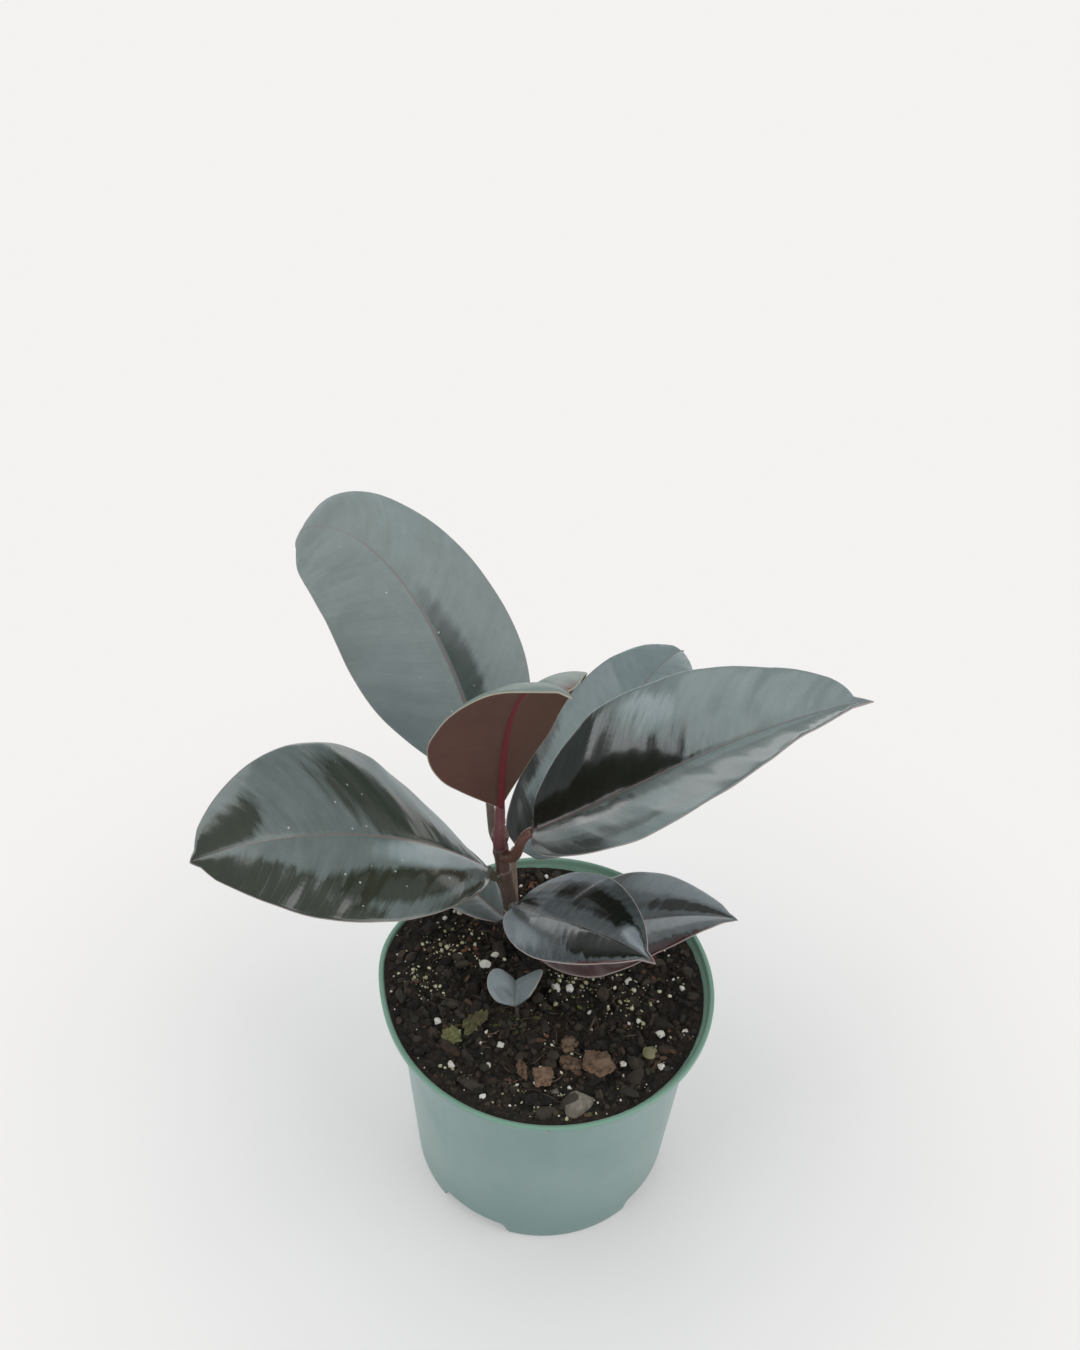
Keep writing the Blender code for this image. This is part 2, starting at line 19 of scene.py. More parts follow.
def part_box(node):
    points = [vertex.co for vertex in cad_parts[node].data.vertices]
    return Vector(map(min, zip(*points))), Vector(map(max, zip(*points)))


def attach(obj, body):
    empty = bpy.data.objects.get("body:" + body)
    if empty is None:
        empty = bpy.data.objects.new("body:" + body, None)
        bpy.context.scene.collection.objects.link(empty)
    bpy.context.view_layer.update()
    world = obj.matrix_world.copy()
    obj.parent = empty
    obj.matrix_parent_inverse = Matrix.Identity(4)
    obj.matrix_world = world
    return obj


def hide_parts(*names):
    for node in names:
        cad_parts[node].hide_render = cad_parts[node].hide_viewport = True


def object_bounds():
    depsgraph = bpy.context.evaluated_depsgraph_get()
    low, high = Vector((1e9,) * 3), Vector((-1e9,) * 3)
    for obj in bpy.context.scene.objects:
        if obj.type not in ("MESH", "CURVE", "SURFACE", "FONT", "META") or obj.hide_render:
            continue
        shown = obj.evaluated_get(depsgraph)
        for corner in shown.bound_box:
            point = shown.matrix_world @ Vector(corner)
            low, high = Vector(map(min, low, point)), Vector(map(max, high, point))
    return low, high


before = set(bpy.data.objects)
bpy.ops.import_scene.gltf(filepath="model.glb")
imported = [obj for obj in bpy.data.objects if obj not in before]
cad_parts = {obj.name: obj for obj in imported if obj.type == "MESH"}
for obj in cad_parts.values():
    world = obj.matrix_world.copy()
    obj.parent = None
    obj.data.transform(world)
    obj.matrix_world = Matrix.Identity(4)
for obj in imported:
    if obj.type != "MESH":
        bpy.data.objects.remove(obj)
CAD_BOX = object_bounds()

LOG = logging.getLogger("rubber_plant")

MM = 0.001
WELD = 1e-7
SMOOTH = {"interpolation_type": "SMOOTHSTEP"}
Rgb = tuple[float, float, float]
Pair = tuple[float, float]
Triple = tuple[float, float, float]
Array = np.ndarray
Piece = bpy.types.Object
Finish = bpy.types.Material


class Slot(Enum):
    """Names of the record's material slots."""

    POT = "pot_plastic"
    MIX = "potting_mix"
    STEM = "stem_bark"
    BUD = "bud_sheath"
    LEAF = "leaf_green"
    YOUNG_LEAF = "leaf_young"
    BARK = "bark"
    STONE = "stone"
    PEBBLE = "pebble"
    LITTER = "litter"
    PERLITE = "perlite"


# ---- Shader expressions ----


class Port:
    """An output socket that can be used in arithmetic."""

    def __init__(self, graph: "Graph", socket: bpy.types.NodeSocket) -> None:
        """Wraps a socket of a graph."""
        self.graph = graph
        self.socket = socket

    def __add__(self, other: "Value") -> "Port":
        """Sum."""
        return self.graph.maths("ADD", self, other)

    __radd__ = __add__

    def __mul__(self, other: "Value") -> "Port":
        """Product."""
        return self.graph.maths("MULTIPLY", self, other)

    __rmul__ = __mul__

    def __sub__(self, other: "Value") -> "Port":
        """Difference."""
        return self.graph.maths("SUBTRACT", self, other)

    def __rsub__(self, other: "Value") -> "Port":
        """Difference from a number."""
        return self.graph.maths("SUBTRACT", other, self)

    def __truediv__(self, other: "Value") -> "Port":
        """Quotient."""
        return self.graph.maths("DIVIDE", self, other)

    def __pow__(self, other: "Value") -> "Port":
        """Power."""
        return self.graph.maths("POWER", self, other)

    def __abs__(self) -> "Port":
        """Size without sign."""
        return self.graph.maths("ABSOLUTE", self)


Value = Port | float | int


class Graph:
    """The node graph of one material, or of the room, written as expressions."""

    def __init__(self, name: str, owners: bpy.types.bpy_prop_collection | None = None) -> None:
        """Makes a material, or another owner of nodes.

        Args:
            name: The owner's name.
            owners: The collection that it is added to, if not the materials.
        """
        self.owner = (bpy.data.materials if owners is None else owners).new(name)
        self.owner.use_nodes = True
        self.tree = self.owner.node_tree

    def node(self, kind: str, settings: dict | None = None, inputs: dict | None = None) -> bpy.types.Node:
        """Adds one node.

        Args:
            kind: The node's type name.
            settings: Attributes to set first; "stops" holds a ramp's (position, colour) pairs.
            inputs: Values or ports for its sockets, by name or number.

        Returns:
            The new node.
        """
        made = self.tree.nodes.new(kind)
        for key, value in (settings or {}).items():
            if key == "stops":
                self._set_stops(made.color_ramp, value)
            else:
                setattr(made, key, value)
        for key, value in (inputs or {}).items():
            self.feed(made.inputs[key], value)
        return made

    @staticmethod
    def _set_stops(ramp: bpy.types.ColorRamp, stops: Sequence[tuple[float, Rgb]]) -> None:
        """Gives a colour ramp its stops.

        Args:
            ramp: The ramp.
            stops: Each stop's position and colour.
        """
        while len(ramp.elements) < len(stops):
            ramp.elements.new(1.0)
        for element, (position, colour) in zip(ramp.elements, stops):
            element.position = position
            element.color = (*colour, 1.0)

    def feed(self, socket: bpy.types.NodeSocket, value: "Value | Sequence[float]") -> None:
        """Links a port to an input socket, or sets the socket's value.

        Args:
            socket: The input socket.
            value: A port, a number, a colour or a vector.
        """
        if isinstance(value, Port):
            self.tree.links.new(value.socket, socket)
        elif isinstance(value, (tuple, list)) and socket.type == "RGBA" and len(value) == 3:
            socket.default_value = (*value, 1.0)
        else:
            socket.default_value = value

    def maths(self, operation: str, first: Value, second: Value = 0.0) -> Port:
        """Adds a Math node and returns its result."""
        made = self.node("ShaderNodeMath", {"operation": operation}, {0: first, 1: second})
        return Port(self, made.outputs[0])

    def rise(self, value: Value, low: float, high: float) -> Port:
        """Rises smoothly from 0 to 1 as a value goes from low to high."""
        inputs = {"Value": value, "From Min": low, "From Max": high}
        return Port(self, self.node("ShaderNodeMapRange", SMOOTH, inputs).outputs["Result"])

    def ease(self, value: Value, low: float, high: float, to_low: float = 0.0, to_high: float = 1.0) -> Port:
        """Maps low..high of a value to to_low..to_high, straight and held at both ends."""
        inputs = {"Value": value, "From Min": low, "From Max": high, "To Min": to_low, "To Max": to_high}
        return Port(self, self.node("ShaderNodeMapRange", None, inputs).outputs["Result"])

    def blend(self, share: Value, first: Port | Rgb, second: Port | Rgb) -> Port:
        """Mixes two colours: the first where the share is 0, the second where it is 1."""
        made = self.node("ShaderNodeMix", {"data_type": "RGBA"}, {0: share, 6: first, 7: second})
        return Port(self, made.outputs[2])

    def place(self) -> Port:
        """The point on the object, in metres."""
        return Port(self, self.node("ShaderNodeTexCoord").outputs["Object"])

    def height_of(self, place: Port) -> Port:
        """The height of a place above the ground, in metres."""
        return Port(self, self.node("ShaderNodeSeparateXYZ", None, {0: place}).outputs[2])

    def stretched(self, place: Port, scale: Triple, turn: Triple = (0.0, 0.0, 0.0)) -> Port:
        """A place with its axes turned and scaled."""
        inputs = {"Vector": place, "Scale": scale, "Rotation": turn}
        return Port(self, self.node("ShaderNodeMapping", None, inputs).outputs[0])

    def attribute(self, name: str) -> Port:
        """A number stored on the mesh's points."""
        return Port(self, self.node("ShaderNodeAttribute", {"attribute_name": name}).outputs["Fac"])

    def clouds(self, place: Port, scale: float, detail: float = 3.0, rough: float = 0.5) -> Port:
        """Soft noise from 0 to 1."""
        inputs = {"Vector": place, "Scale": scale, "Detail": detail, "Roughness": rough}
        return Port(self, self.node("ShaderNodeTexNoise", None, inputs).outputs[0])

    def cells(self, place: Port, scale: float, feature: str = "F1") -> Port:
        """Distance to the nearest cell centre, or to a cell's edge."""
        made = self.node("ShaderNodeTexVoronoi", {"feature": feature}, {"Vector": place, "Scale": scale})
        return Port(self, made.outputs["Distance"])

    def shades(self, value: Value, stops: Sequence[tuple[float, Rgb]]) -> Port:
        """A colour looked up from a ramp."""
        made = self.node("ShaderNodeValToRGB", {"stops": stops}, {0: value})
        return Port(self, made.outputs[0])

    def relief(self, height_mm: Value, strength: float) -> Port:
        """A bumped normal from a height in millimetres."""
        inputs = {"Height": height_mm, "Strength": strength, "Distance": MM}
        return Port(self, self.node("ShaderNodeBump", None, inputs).outputs[0])

    def dress(self, **sockets: "Value | Sequence[float]") -> Finish:
        """Feeds the Principled shader's sockets.

        Args:
            **sockets: Socket names with spaces as underscores, such as base_color.

        Returns:
            The material.
        """
        shader = self.tree.nodes["Principled BSDF"]
        names = {name.lower().replace(" ", "_"): name for name in shader.inputs.keys()}
        for key, value in sockets.items():
            self.feed(shader.inputs[names[key]], value)
        return self.owner


# ---- Modelling by hand ----


class Bench:
    """The workbench: the few hand operations that every piece is modelled with."""

    @staticmethod
    def clear() -> None:
        """Leaves edit mode and deselects everything."""
        active = bpy.context.view_layer.objects.active
        if active is not None and active.mode != "OBJECT":
            bpy.ops.object.mode_set(mode="OBJECT")
        bpy.ops.object.select_all(action="DESELECT")

    @staticmethod
    def take(piece: Piece) -> None:
        """Makes a piece the only selected one, and active.

        Args:
            piece: The piece.
        """
        Bench.clear()
        piece.select_set(True)
        bpy.context.view_layer.objects.active = piece

    @staticmethod
    def added(name: str) -> Piece:
        """Names the primitive that was just added and puts its place in its mesh.

        Args:
            name: The piece's name.

        Returns:
            The piece.
        """
        piece = bpy.context.view_layer.objects.active
        piece.name = name
        piece.data.name = name
        bpy.ops.object.transform_apply(location=True, rotation=True, scale=True)
        return piece

    @staticmethod
    def weld(piece: Piece, distance: float = WELD) -> None:
        """Merges doubled points and turns all faces outwards.

        Args:
            piece: The piece.
            distance: How close together doubled points lie.
        """
        Bench.take(piece)
        bpy.ops.object.mode_set(mode="EDIT")
        bpy.ops.mesh.select_all(action="SELECT")
        bpy.ops.mesh.remove_doubles(threshold=distance)
        bpy.ops.mesh.normals_make_consistent(inside=False)
        bpy.ops.object.mode_set(mode="OBJECT")

    @staticmethod
    def smooth(piece: Piece, degrees: float = 180.0) -> None:
        """Shades a piece smooth, with edges sharper than an angle kept."""
        Bench.take(piece)
        bpy.ops.object.shade_smooth_by_angle(angle=math.radians(degrees))

    @staticmethod
    def apply(piece: Piece, kind: str, **settings: object) -> None:
        """Adds a modifier to a piece and applies it.

        Args:
            piece: The piece.
            kind: The modifier's type.
            **settings: The modifier's settings.
        """
        Bench.take(piece)
        modifier = piece.modifiers.new(kind.lower(), kind)
        for key, value in settings.items():
            setattr(modifier, key, value)
        bpy.ops.object.modifier_apply(modifier=modifier.name)

    @staticmethod
    def points(piece: Piece) -> Array:
        """Reads a piece's points.

        Args:
            piece: The piece.

        Returns:
            Rows of x, y, z.
        """
        flat = np.empty(len(piece.data.vertices) * 3)
        piece.data.vertices.foreach_get("co", flat)
        return flat.reshape(-1, 3)

    @staticmethod
    def move(piece: Piece, points: Array) -> None:
        """Puts the piece's points at new places."""
        piece.data.vertices.foreach_set("co", points.reshape(-1))
        piece.data.update()

    @staticmethod
    def mark(piece: Piece, name: str, values: Array) -> None:
        """Stores a number on each point of a piece."""
        layer = piece.data.attributes.new(name, "FLOAT", "POINT")
        layer.data.foreach_set("value", values.astype(np.float32).reshape(-1))

    @staticmethod
    def skin_sheet(name: str, rows: int, columns: int) -> tuple[Piece, Array, Array]:
        """A flat grid whose points are then wrapped into a shape.

        Args:
            name: The piece's name.
            rows: Points along the first direction.
            columns: Points along the second direction.

        Returns:
            The piece, and each point's row and column number.
        """
        Bench.clear()
        bpy.ops.mesh.primitive_grid_add(x_subdivisions=rows - 1, y_subdivisions=columns - 1, size=2)
        piece = Bench.added(name)
        flat = Bench.points(piece)
        row = np.rint((flat[:, 0] + 1) / 2 * (rows - 1)).astype(int)
        column = np.rint((flat[:, 1] + 1) / 2 * (columns - 1)).astype(int)
        return piece, row, column

    @staticmethod
    def wrap(
        name: str, points: Array, marks: dict[str, Array], weld: float = WELD, degrees: float = 180.0
    ) -> Piece:
        """Wraps a flat grid into a closed skin.

        Args:
            name: The piece's name.
            points: The skin's points by row and column.
            marks: The numbers to store on them.
            weld: How close together doubled points lie.
            degrees: How sharp an edge is kept.

        Returns:
            The piece.
        """
        piece, row, column = Bench.skin_sheet(name, *points.shape[:2])
        Bench.move(piece, points[row, column])
        for mark, values in marks.items():
            Bench.mark(piece, mark, values[row, column])
        Bench.weld(piece, weld)
        Bench.smooth(piece, degrees)
        return piece

    @staticmethod
    def from_faces(name: str, points: Array, faces: list[Sequence[int]]) -> Piece:
        """Makes a piece of copies that have been laid out together.

        Args:
            name: The piece's name.
            points: Rows of x, y, z.
            faces: The numbers of each face's points.

        Returns:
            The piece.
        """
        mesh = bpy.data.meshes.new(name)
        mesh.from_pydata(points.tolist(), [], faces)
        piece = bpy.data.objects.new(name, mesh)
        bpy.context.scene.collection.objects.link(piece)
        return piece

    @staticmethod
    def hand_over(piece: Piece, slot: Slot, material: Finish, *nodes: str) -> None:
        """Dresses a finished piece and puts it in place of its construction solids.

        Args:
            piece: The finished piece.
            slot: The record's material slot; not used.
            material: The finish.
            *nodes: The construction nodes that it stands for.
        """
        piece.data.materials.clear()
        piece.data.materials.append(material)
        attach(piece, "root")
        if nodes:
            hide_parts(*nodes)
        LOG.info("%s: %d points, for %s", piece.name, len(piece.data.vertices), ", ".join(nodes) or "itself")


def smooth_rise(value: Array, low: float, high: float) -> Array:
    """Rises smoothly from 0 to 1 as a value goes from low to high."""
    share = np.clip((value - low) / (high - low), 0.0, 1.0)
    return share * share * (3.0 - 2.0 * share)


def rows_of(*columns: Array) -> Array:
    """Stacks coordinates into rows of points."""
    return np.stack(columns, axis=-1)


def on_curve(knots: Sequence[Vector], share: float) -> tuple[Vector, Vector]:
    """Follows a curve with four knots.

    Args:
        knots: The curve's two ends and, between them, the two points that pull it.
        share: How far along it, from 0 to 1.

    Returns:
        The point and the direction there.
    """
    rest = 1 - share
    start, first, second, end = knots
    point = start * rest**3 + first * 3 * rest**2 * share + second * 3 * rest * share**2 + end * share**3
    line = (first - start) * rest**2 + (second - first) * 2 * rest * share + (end - second) * share**2
    return point, line.normalized()


def cloud(points: Array, scale: float, octaves: int = 3) -> Array:
    """Soft noise at points, about -1 to 1, with so many lumps in a metre and so many layers."""
    return np.array([noise.fractal(Vector(p) * scale, 0.8, 2.0, octaves) for p in points])


# ---- Pot ----


@dataclass(frozen=True)
class PotPlastic:
    """Green-grey moulded plastic with a satin haze, greener at the lip, with painted shade darkening it
    towards the foot.
    """

    wall: Rgb = (0.165, 0.29, 0.268)
    wall_worn: Rgb = (0.22, 0.345, 0.322)
    # painted shade: the wall's colour towards the foot
    painted_foot_shade: Rgb = (0.115, 0.245, 0.22)
    lip: Rgb = (0.19, 0.37, 0.275)
    inside: Rgb = (0.165, 0.3, 0.225)
    grime: Rgb = (0.06, 0.045, 0.03)
    foot_band: float = 50 * MM
    splash_band: Pair = (1 * MM, 7 * MM)
    roughness: float = 0.42

    def build(self, lip_height: float, mix_height: float) -> Finish:
        """Makes the material.

        Args:
            lip_height: Height at which the greener top of the lip starts.
            mix_height: Height of the potting mix at the wall.

        Returns:
            The material, which reads the outward mark.
        """
        graph = Graph("pot_plastic")
        place = graph.place()
        height = graph.height_of(place)
        patches = graph.ease(graph.clouds(place, 26.0, 5.0), 0.35, 0.65)
        streaks = graph.clouds(graph.stretched(place, (1.0, 1.0, 0.08)), 160.0)
        wall = graph.blend(patches * 0.7 + streaks * 0.3, self.wall, self.wall_worn)
        # darker and greener towards the foot: painted shade near the floor
        foot_shade_share = 1 - graph.rise(height, 0.0, self.foot_band)
        wall = graph.blend(foot_shade_share * 0.7, wall, self.painted_foot_shade)
        lip_share = graph.rise(height, lip_height - 0.3 * MM, lip_height + 0.3 * MM)
        colour = graph.blend(lip_share, wall, self.lip)
        above_mix = graph.rise(height, mix_height - 12 * MM, mix_height - 10 * MM)
        inner = (1 - graph.rise(graph.attribute("outward"), -0.6, 0.5)) * above_mix
        colour = graph.blend(inner, colour, self.inside)
        specks = graph.rise(graph.clouds(place, 420.0, 4.0, 0.7), 0.56, 0.7)
        splash = 1 - graph.rise(height, *(mix_height + rise for rise in self.splash_band))
        colour = graph.blend(specks * splash * inner * 0.8, colour, self.grime)
        rubbed = graph.clouds(graph.stretched(place, (1.0, 1.0, 0.3)), 70.0, 6.0, 0.7)
        scuffs = graph.rise(rubbed, 0.52, 0.75)
        roughness = self.roughness + scuffs * 0.16 - lip_share * 0.08
        grain = graph.clouds(place, 1500.0, 2.0) * 0.03 + streaks * 0.02
        return graph.dress(
            base_color=colour,
            roughness=roughness,
            normal=graph.relief(grain, 0.6),
            ior=1.5,
            coat_weight=0.3,
            coat_roughness=0.35,
            sheen_weight=0.22,
            sheen_roughness=0.4,
        )


@dataclass
class Pot:
    """The tapered round pot: flared lip, rounded foot, raised drain channel, notches and drain holes."""

    height: float = 120 * MM
    lip_radius: float = 77.2 * MM
    lip_width: float = 2.1 * MM
    lip_depth: float = 2.4 * MM
    lip_lean: float = 0.9 * MM
    neck_radius: float = 70.2 * MM
    neck_height: float = 113.5 * MM
    foot_radius: float = 62.5 * MM
    wall: float = 1.4 * MM
    floor_radius: float = 46 * MM
    channel_radius: float = 58.5 * MM
    channel_height: float = 6 * MM
    floor_thickness: float = 1.6 * MM
    segments: int = 320
    wall_rows: tuple[float, ...] = (80 * MM, 45 * MM, 20 * MM, 11 * MM, 8.6 * MM, 7.4 * MM)
    notch_count: int = 4
    first_notch: float = math.radians(-119)
    notch_width: float = 37 * MM
    notch_height: float = 7 * MM
    notch_corner: float = 5 * MM
    drain_radius: float = 4 * MM
    bend: Triple = (3.6 * MM, math.radians(168), math.radians(19))
    bend_heights: Pair = (108 * MM, 118 * MM)
    mix_depth: float = 105 * MM
    finish: PotPlastic = PotPlastic()

    def wall_radius(self, height: float) -> float:
        """Outer radius of the tapered wall at a height."""
        return self.foot_radius + (self.neck_radius - self.foot_radius) * height / self.neck_height

    def bent_out(self, x: Array, y: Array, height: Array) -> Array:
        """How far the soft lip is bent outwards, from handling.

        Args:
            x: Each place's x.
            y: Its y.
            height: Its height.

        Returns:
            The bend at each place.
        """
        reach, middle, spread = self.bend
        away = (np.arctan2(y, x) - middle + math.pi) % math.tau - math.pi
        return reach * np.exp(-((away / spread) ** 2)) * smooth_rise(height, *self.bend_heights)

    def profile(self) -> list[Triple]:
        """Lists the section's corners, from the lip down outside and up inside.

        Returns:
            Each corner's radius, height and rounding.
        """
        top = self.height
        flare = self.lip_radius - self.lip_width
        floor_up = self.floor_thickness
        channel = self.channel_height
        inner_foot = self.wall_radius(channel) - self.wall
        return [
            (self.lip_radius, top, 0.8 * MM),
            (self.lip_radius, top - self.lip_depth, 0.7 * MM),
            (flare, top - self.lip_depth - 0.9 * MM, 0.5 * MM),
            (self.neck_radius + 0.1 * MM, self.neck_height + 0.2 * MM, 2.2 * MM),
            *((self.wall_radius(height), height, 0.0) for height in self.wall_rows),
            (self.foot_radius, 0.0, 2.2 * MM),
            (self.channel_radius, 0.0, 0.5 * MM),
            (self.channel_radius - 0.4 * MM, channel, 0.6 * MM),
            (self.floor_radius + 1.5 * MM, channel, 0.8 * MM),
            (self.floor_radius, 0.0, 0.8 * MM),
            (0.0, 0.0, 0.0),
            (0.0, floor_up, 0.0),
            (self.floor_radius - floor_up, floor_up, 1.0 * MM),
            (self.floor_radius + 1.5 * MM - floor_up, channel + floor_up, 1.0 * MM),
            (inner_foot, channel + floor_up, 2.0 * MM),
            (self.neck_radius - self.wall, self.neck_height - 0.2 * MM, 2.0 * MM),
            (flare - self.lip_lean, top - self.lip_depth + 0.2 * MM, 1.0 * MM),
            (flare, top, 0.7 * MM),
        ]

    @staticmethod
    def rounded(corners: Sequence[Triple], steps: int = 5) -> list[Pair]:
        """Turns (x, y, rounding) corners of a closed outline into points, each corner an arc.

        Args:
            corners: The outline's corners in order.
            steps: Points on each rounded corner.

        Returns:
            The outline's points.
        """
        points: list[Pair] = []
        count = len(corners)
        for index, (x, y, rounding) in enumerate(corners):
            corner = Vector((x, y))
            if rounding <= 0:
                points.append((x, y))
                continue
            before = Vector(corners[index - 1][:2]) - corner
            after = Vector(corners[(index + 1) % count][:2]) - corner
            half_angle = before.angle(after) / 2
            run = min(rounding / math.tan(half_angle), before.length * 0.45, after.length * 0.45)
            start = corner + before.normalized() * run
            end = corner + after.normalized() * run
            for step in range(steps):
                share = step / (steps - 1)
                point = start.lerp(corner, share).lerp(corner.lerp(end, share), share)
                points.append((point.x, point.y))
        return points

    def turn_shell(self) -> Piece:
        """Spins the section into the shell.

        Returns:
            The shell, closed and welded.
        """
        outline = self.rounded(self.profile())
        start = next(i for i, (radius, height) in enumerate(outline) if radius == 0 and height > 0)
        outline = outline[start:] + outline[:start]
        Bench.clear()
        bpy.ops.mesh.primitive_plane_add(size=1)
        shell = Bench.added("pot_shell")
        bpy.ops.object.mode_set(mode="EDIT")
        bpy.ops.mesh.merge(type="CENTER")
        bpy.ops.transform.translate(value=(outline[0][0], 0, outline[0][1]))
        for (radius, height), (next_radius, next_height) in zip(outline, outline[1:]):
            step = (next_radius - radius, 0, next_height - height)
            bpy.ops.mesh.extrude_vertices_move(TRANSFORM_OT_translate={"value": step})
        bpy.ops.mesh.select_all(action="SELECT")
        bpy.ops.mesh.spin(steps=self.segments, angle=math.tau, center=(0, 0, 0), axis=(0, 0, 1))
        bpy.ops.object.mode_set(mode="OBJECT")
        Bench.weld(shell, 1e-6)
        return shell

    def bend_lip(self, shell: Piece) -> None:
        """Bends the lip out where the pot is held.

        Args:
            shell: The pot's shell.
        """
        points = Bench.points(shell)
        radius = np.maximum(np.hypot(points[:, 0], points[:, 1]), MM)
        push = self.bent_out(points[:, 0], points[:, 1], points[:, 2])
        points[:, :2] *= (1 + push / radius)[:, None]
        Bench.move(shell, points)

    def mark_faces(self, shell: Piece) -> None:
        """Marks how far each point lies outside the middle of the wall, in millimetres.

        Args:
            shell: The pot's shell.
        """
        points = Bench.points(shell)
        height = points[:, 2]
        radius = np.hypot(points[:, 0], points[:, 1]) - self.bent_out(points[:, 0], points[:, 1], height)
        low = self.foot_radius - self.wall / 2
        neck = self.neck_radius - self.wall / 2
        flare = self.lip_radius - self.lip_width
        knots = (0, self.neck_height, self.height - self.lip_depth, self.height)
        middle = np.interp(height, knots, (low, neck, flare, flare + self.lip_lean))
        Bench.mark(shell, "outward", (radius - middle) / MM)

    def cut_notches(self, shell: Piece) -> None:
        """Lifts the foot ring into four low arches where water drains away.

        Args:
            shell: The pot's shell.
        """
        points = Bench.points(shell)
        radius = np.hypot(points[:, 0], points[:, 1])
        angle = np.arctan2(points[:, 1], points[:, 0])
        spacing = math.tau / self.notch_count
        away = (angle - self.first_notch + spacing / 2) % spacing - spacing / 2
        side = np.abs(away) * self.foot_radius
        edge = self.notch_width / 2
        inset = np.clip((side - (edge - self.notch_corner)) / self.notch_corner, 0.0, 1.0)
        lift = self.notch_height * np.sqrt(np.clip(1 - inset**2.5, 0.0, 1.0))
        ring = radius > self.channel_radius - 0.6 * MM
        low = ring & (side < edge) & (points[:, 2] < lift)
        # what lay under the arch is pressed flat against it
        points[low, 2] = lift[low] - (lift[low] - points[low, 2]) * 0.04
        Bench.move(shell, points)

    def drill_drains(self, shell: Piece) -> None:
        """Drills one hole through the raised channel at each notch.

        Args:
            shell: The pot's shell.
        """
        for index in range(self.notch_count):
            angle = self.first_notch + math.tau * index / self.notch_count
            middle = (self.floor_radius + self.channel_radius) / 2
            Bench.clear()
            bpy.ops.mesh.primitive_cylinder_add(
                vertices=40,
                radius=self.drain_radius,
                depth=2 * self.drain_radius,
                location=(middle * math.cos(angle), middle * math.sin(angle), self.channel_height + MM),
            )
            drill = Bench.added("drill")
            Bench.apply(shell, "BOOLEAN", operation="DIFFERENCE", solver="EXACT", object=drill)
            bpy.data.objects.remove(drill)

    def build(self) -> None:
        """Models the pot, dresses it and puts it in place."""
        shell = self.turn_shell()
        self.bend_lip(shell)
        self.cut_notches(shell)
        self.drill_drains(shell)
        self.mark_faces(shell)
        Bench.smooth(shell, 40)
        material = self.finish.build(self.height - 0.8 * MM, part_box("potting_mix")[0].z + self.mix_depth)
        Bench.hand_over(shell, Slot.POT, material, "pot")


# ---- Leaves ----


@dataclass(frozen=True)
class Patch:
    """A place on a leaf's upper face where painted sheen is added, or taken off to paint dark reflections and
    shade.

    along is the middle's share of the leaf's length, and side its share of the half width, above 0 on
    the left half. reach holds half the patch's length and width in the same shares, and slant leans the
    patch towards the tip as side grows. gain is the painted sheen added, below 0 where it is taken off to
    paint dark reflections and shade. A patch stays on its own half of the leaf, unless side is 0. The flush
    takes its reddened places in the same way.
    """

    along: float
    side: float
    reach: Pair
    gain: float
    slant: float = 0.0
    soft: float = 0.3

    def share(self, graph: Graph, along: Port, side: Port, ragged: Port) -> Port:
        """The painted sheen that the patch adds at each point, below 0 for painted dark reflections and
        shade.

        Args:
            graph: The leaf's node graph.
            along: Share of the leaf's length.
            side: Share of the half width, signed.
            ragged: Unevenness that frays the patch's edge along the side veins.

        Returns:
            The added painted sheen.
        """
        run = (along - self.along - (side - self.side) * self.slant) / self.reach[0]
        step = (side - self.side) / self.reach[1]
        far = (run * run + step * step) ** 0.5 + ragged
        inside = 1 - graph.rise(far, 1 - self.soft, 1 + self.soft)
        if self.side != 0:
            inside = inside * graph.rise(side * math.copysign(1.0, self.side), 0.0, 0.05)
        return inside * self.gain


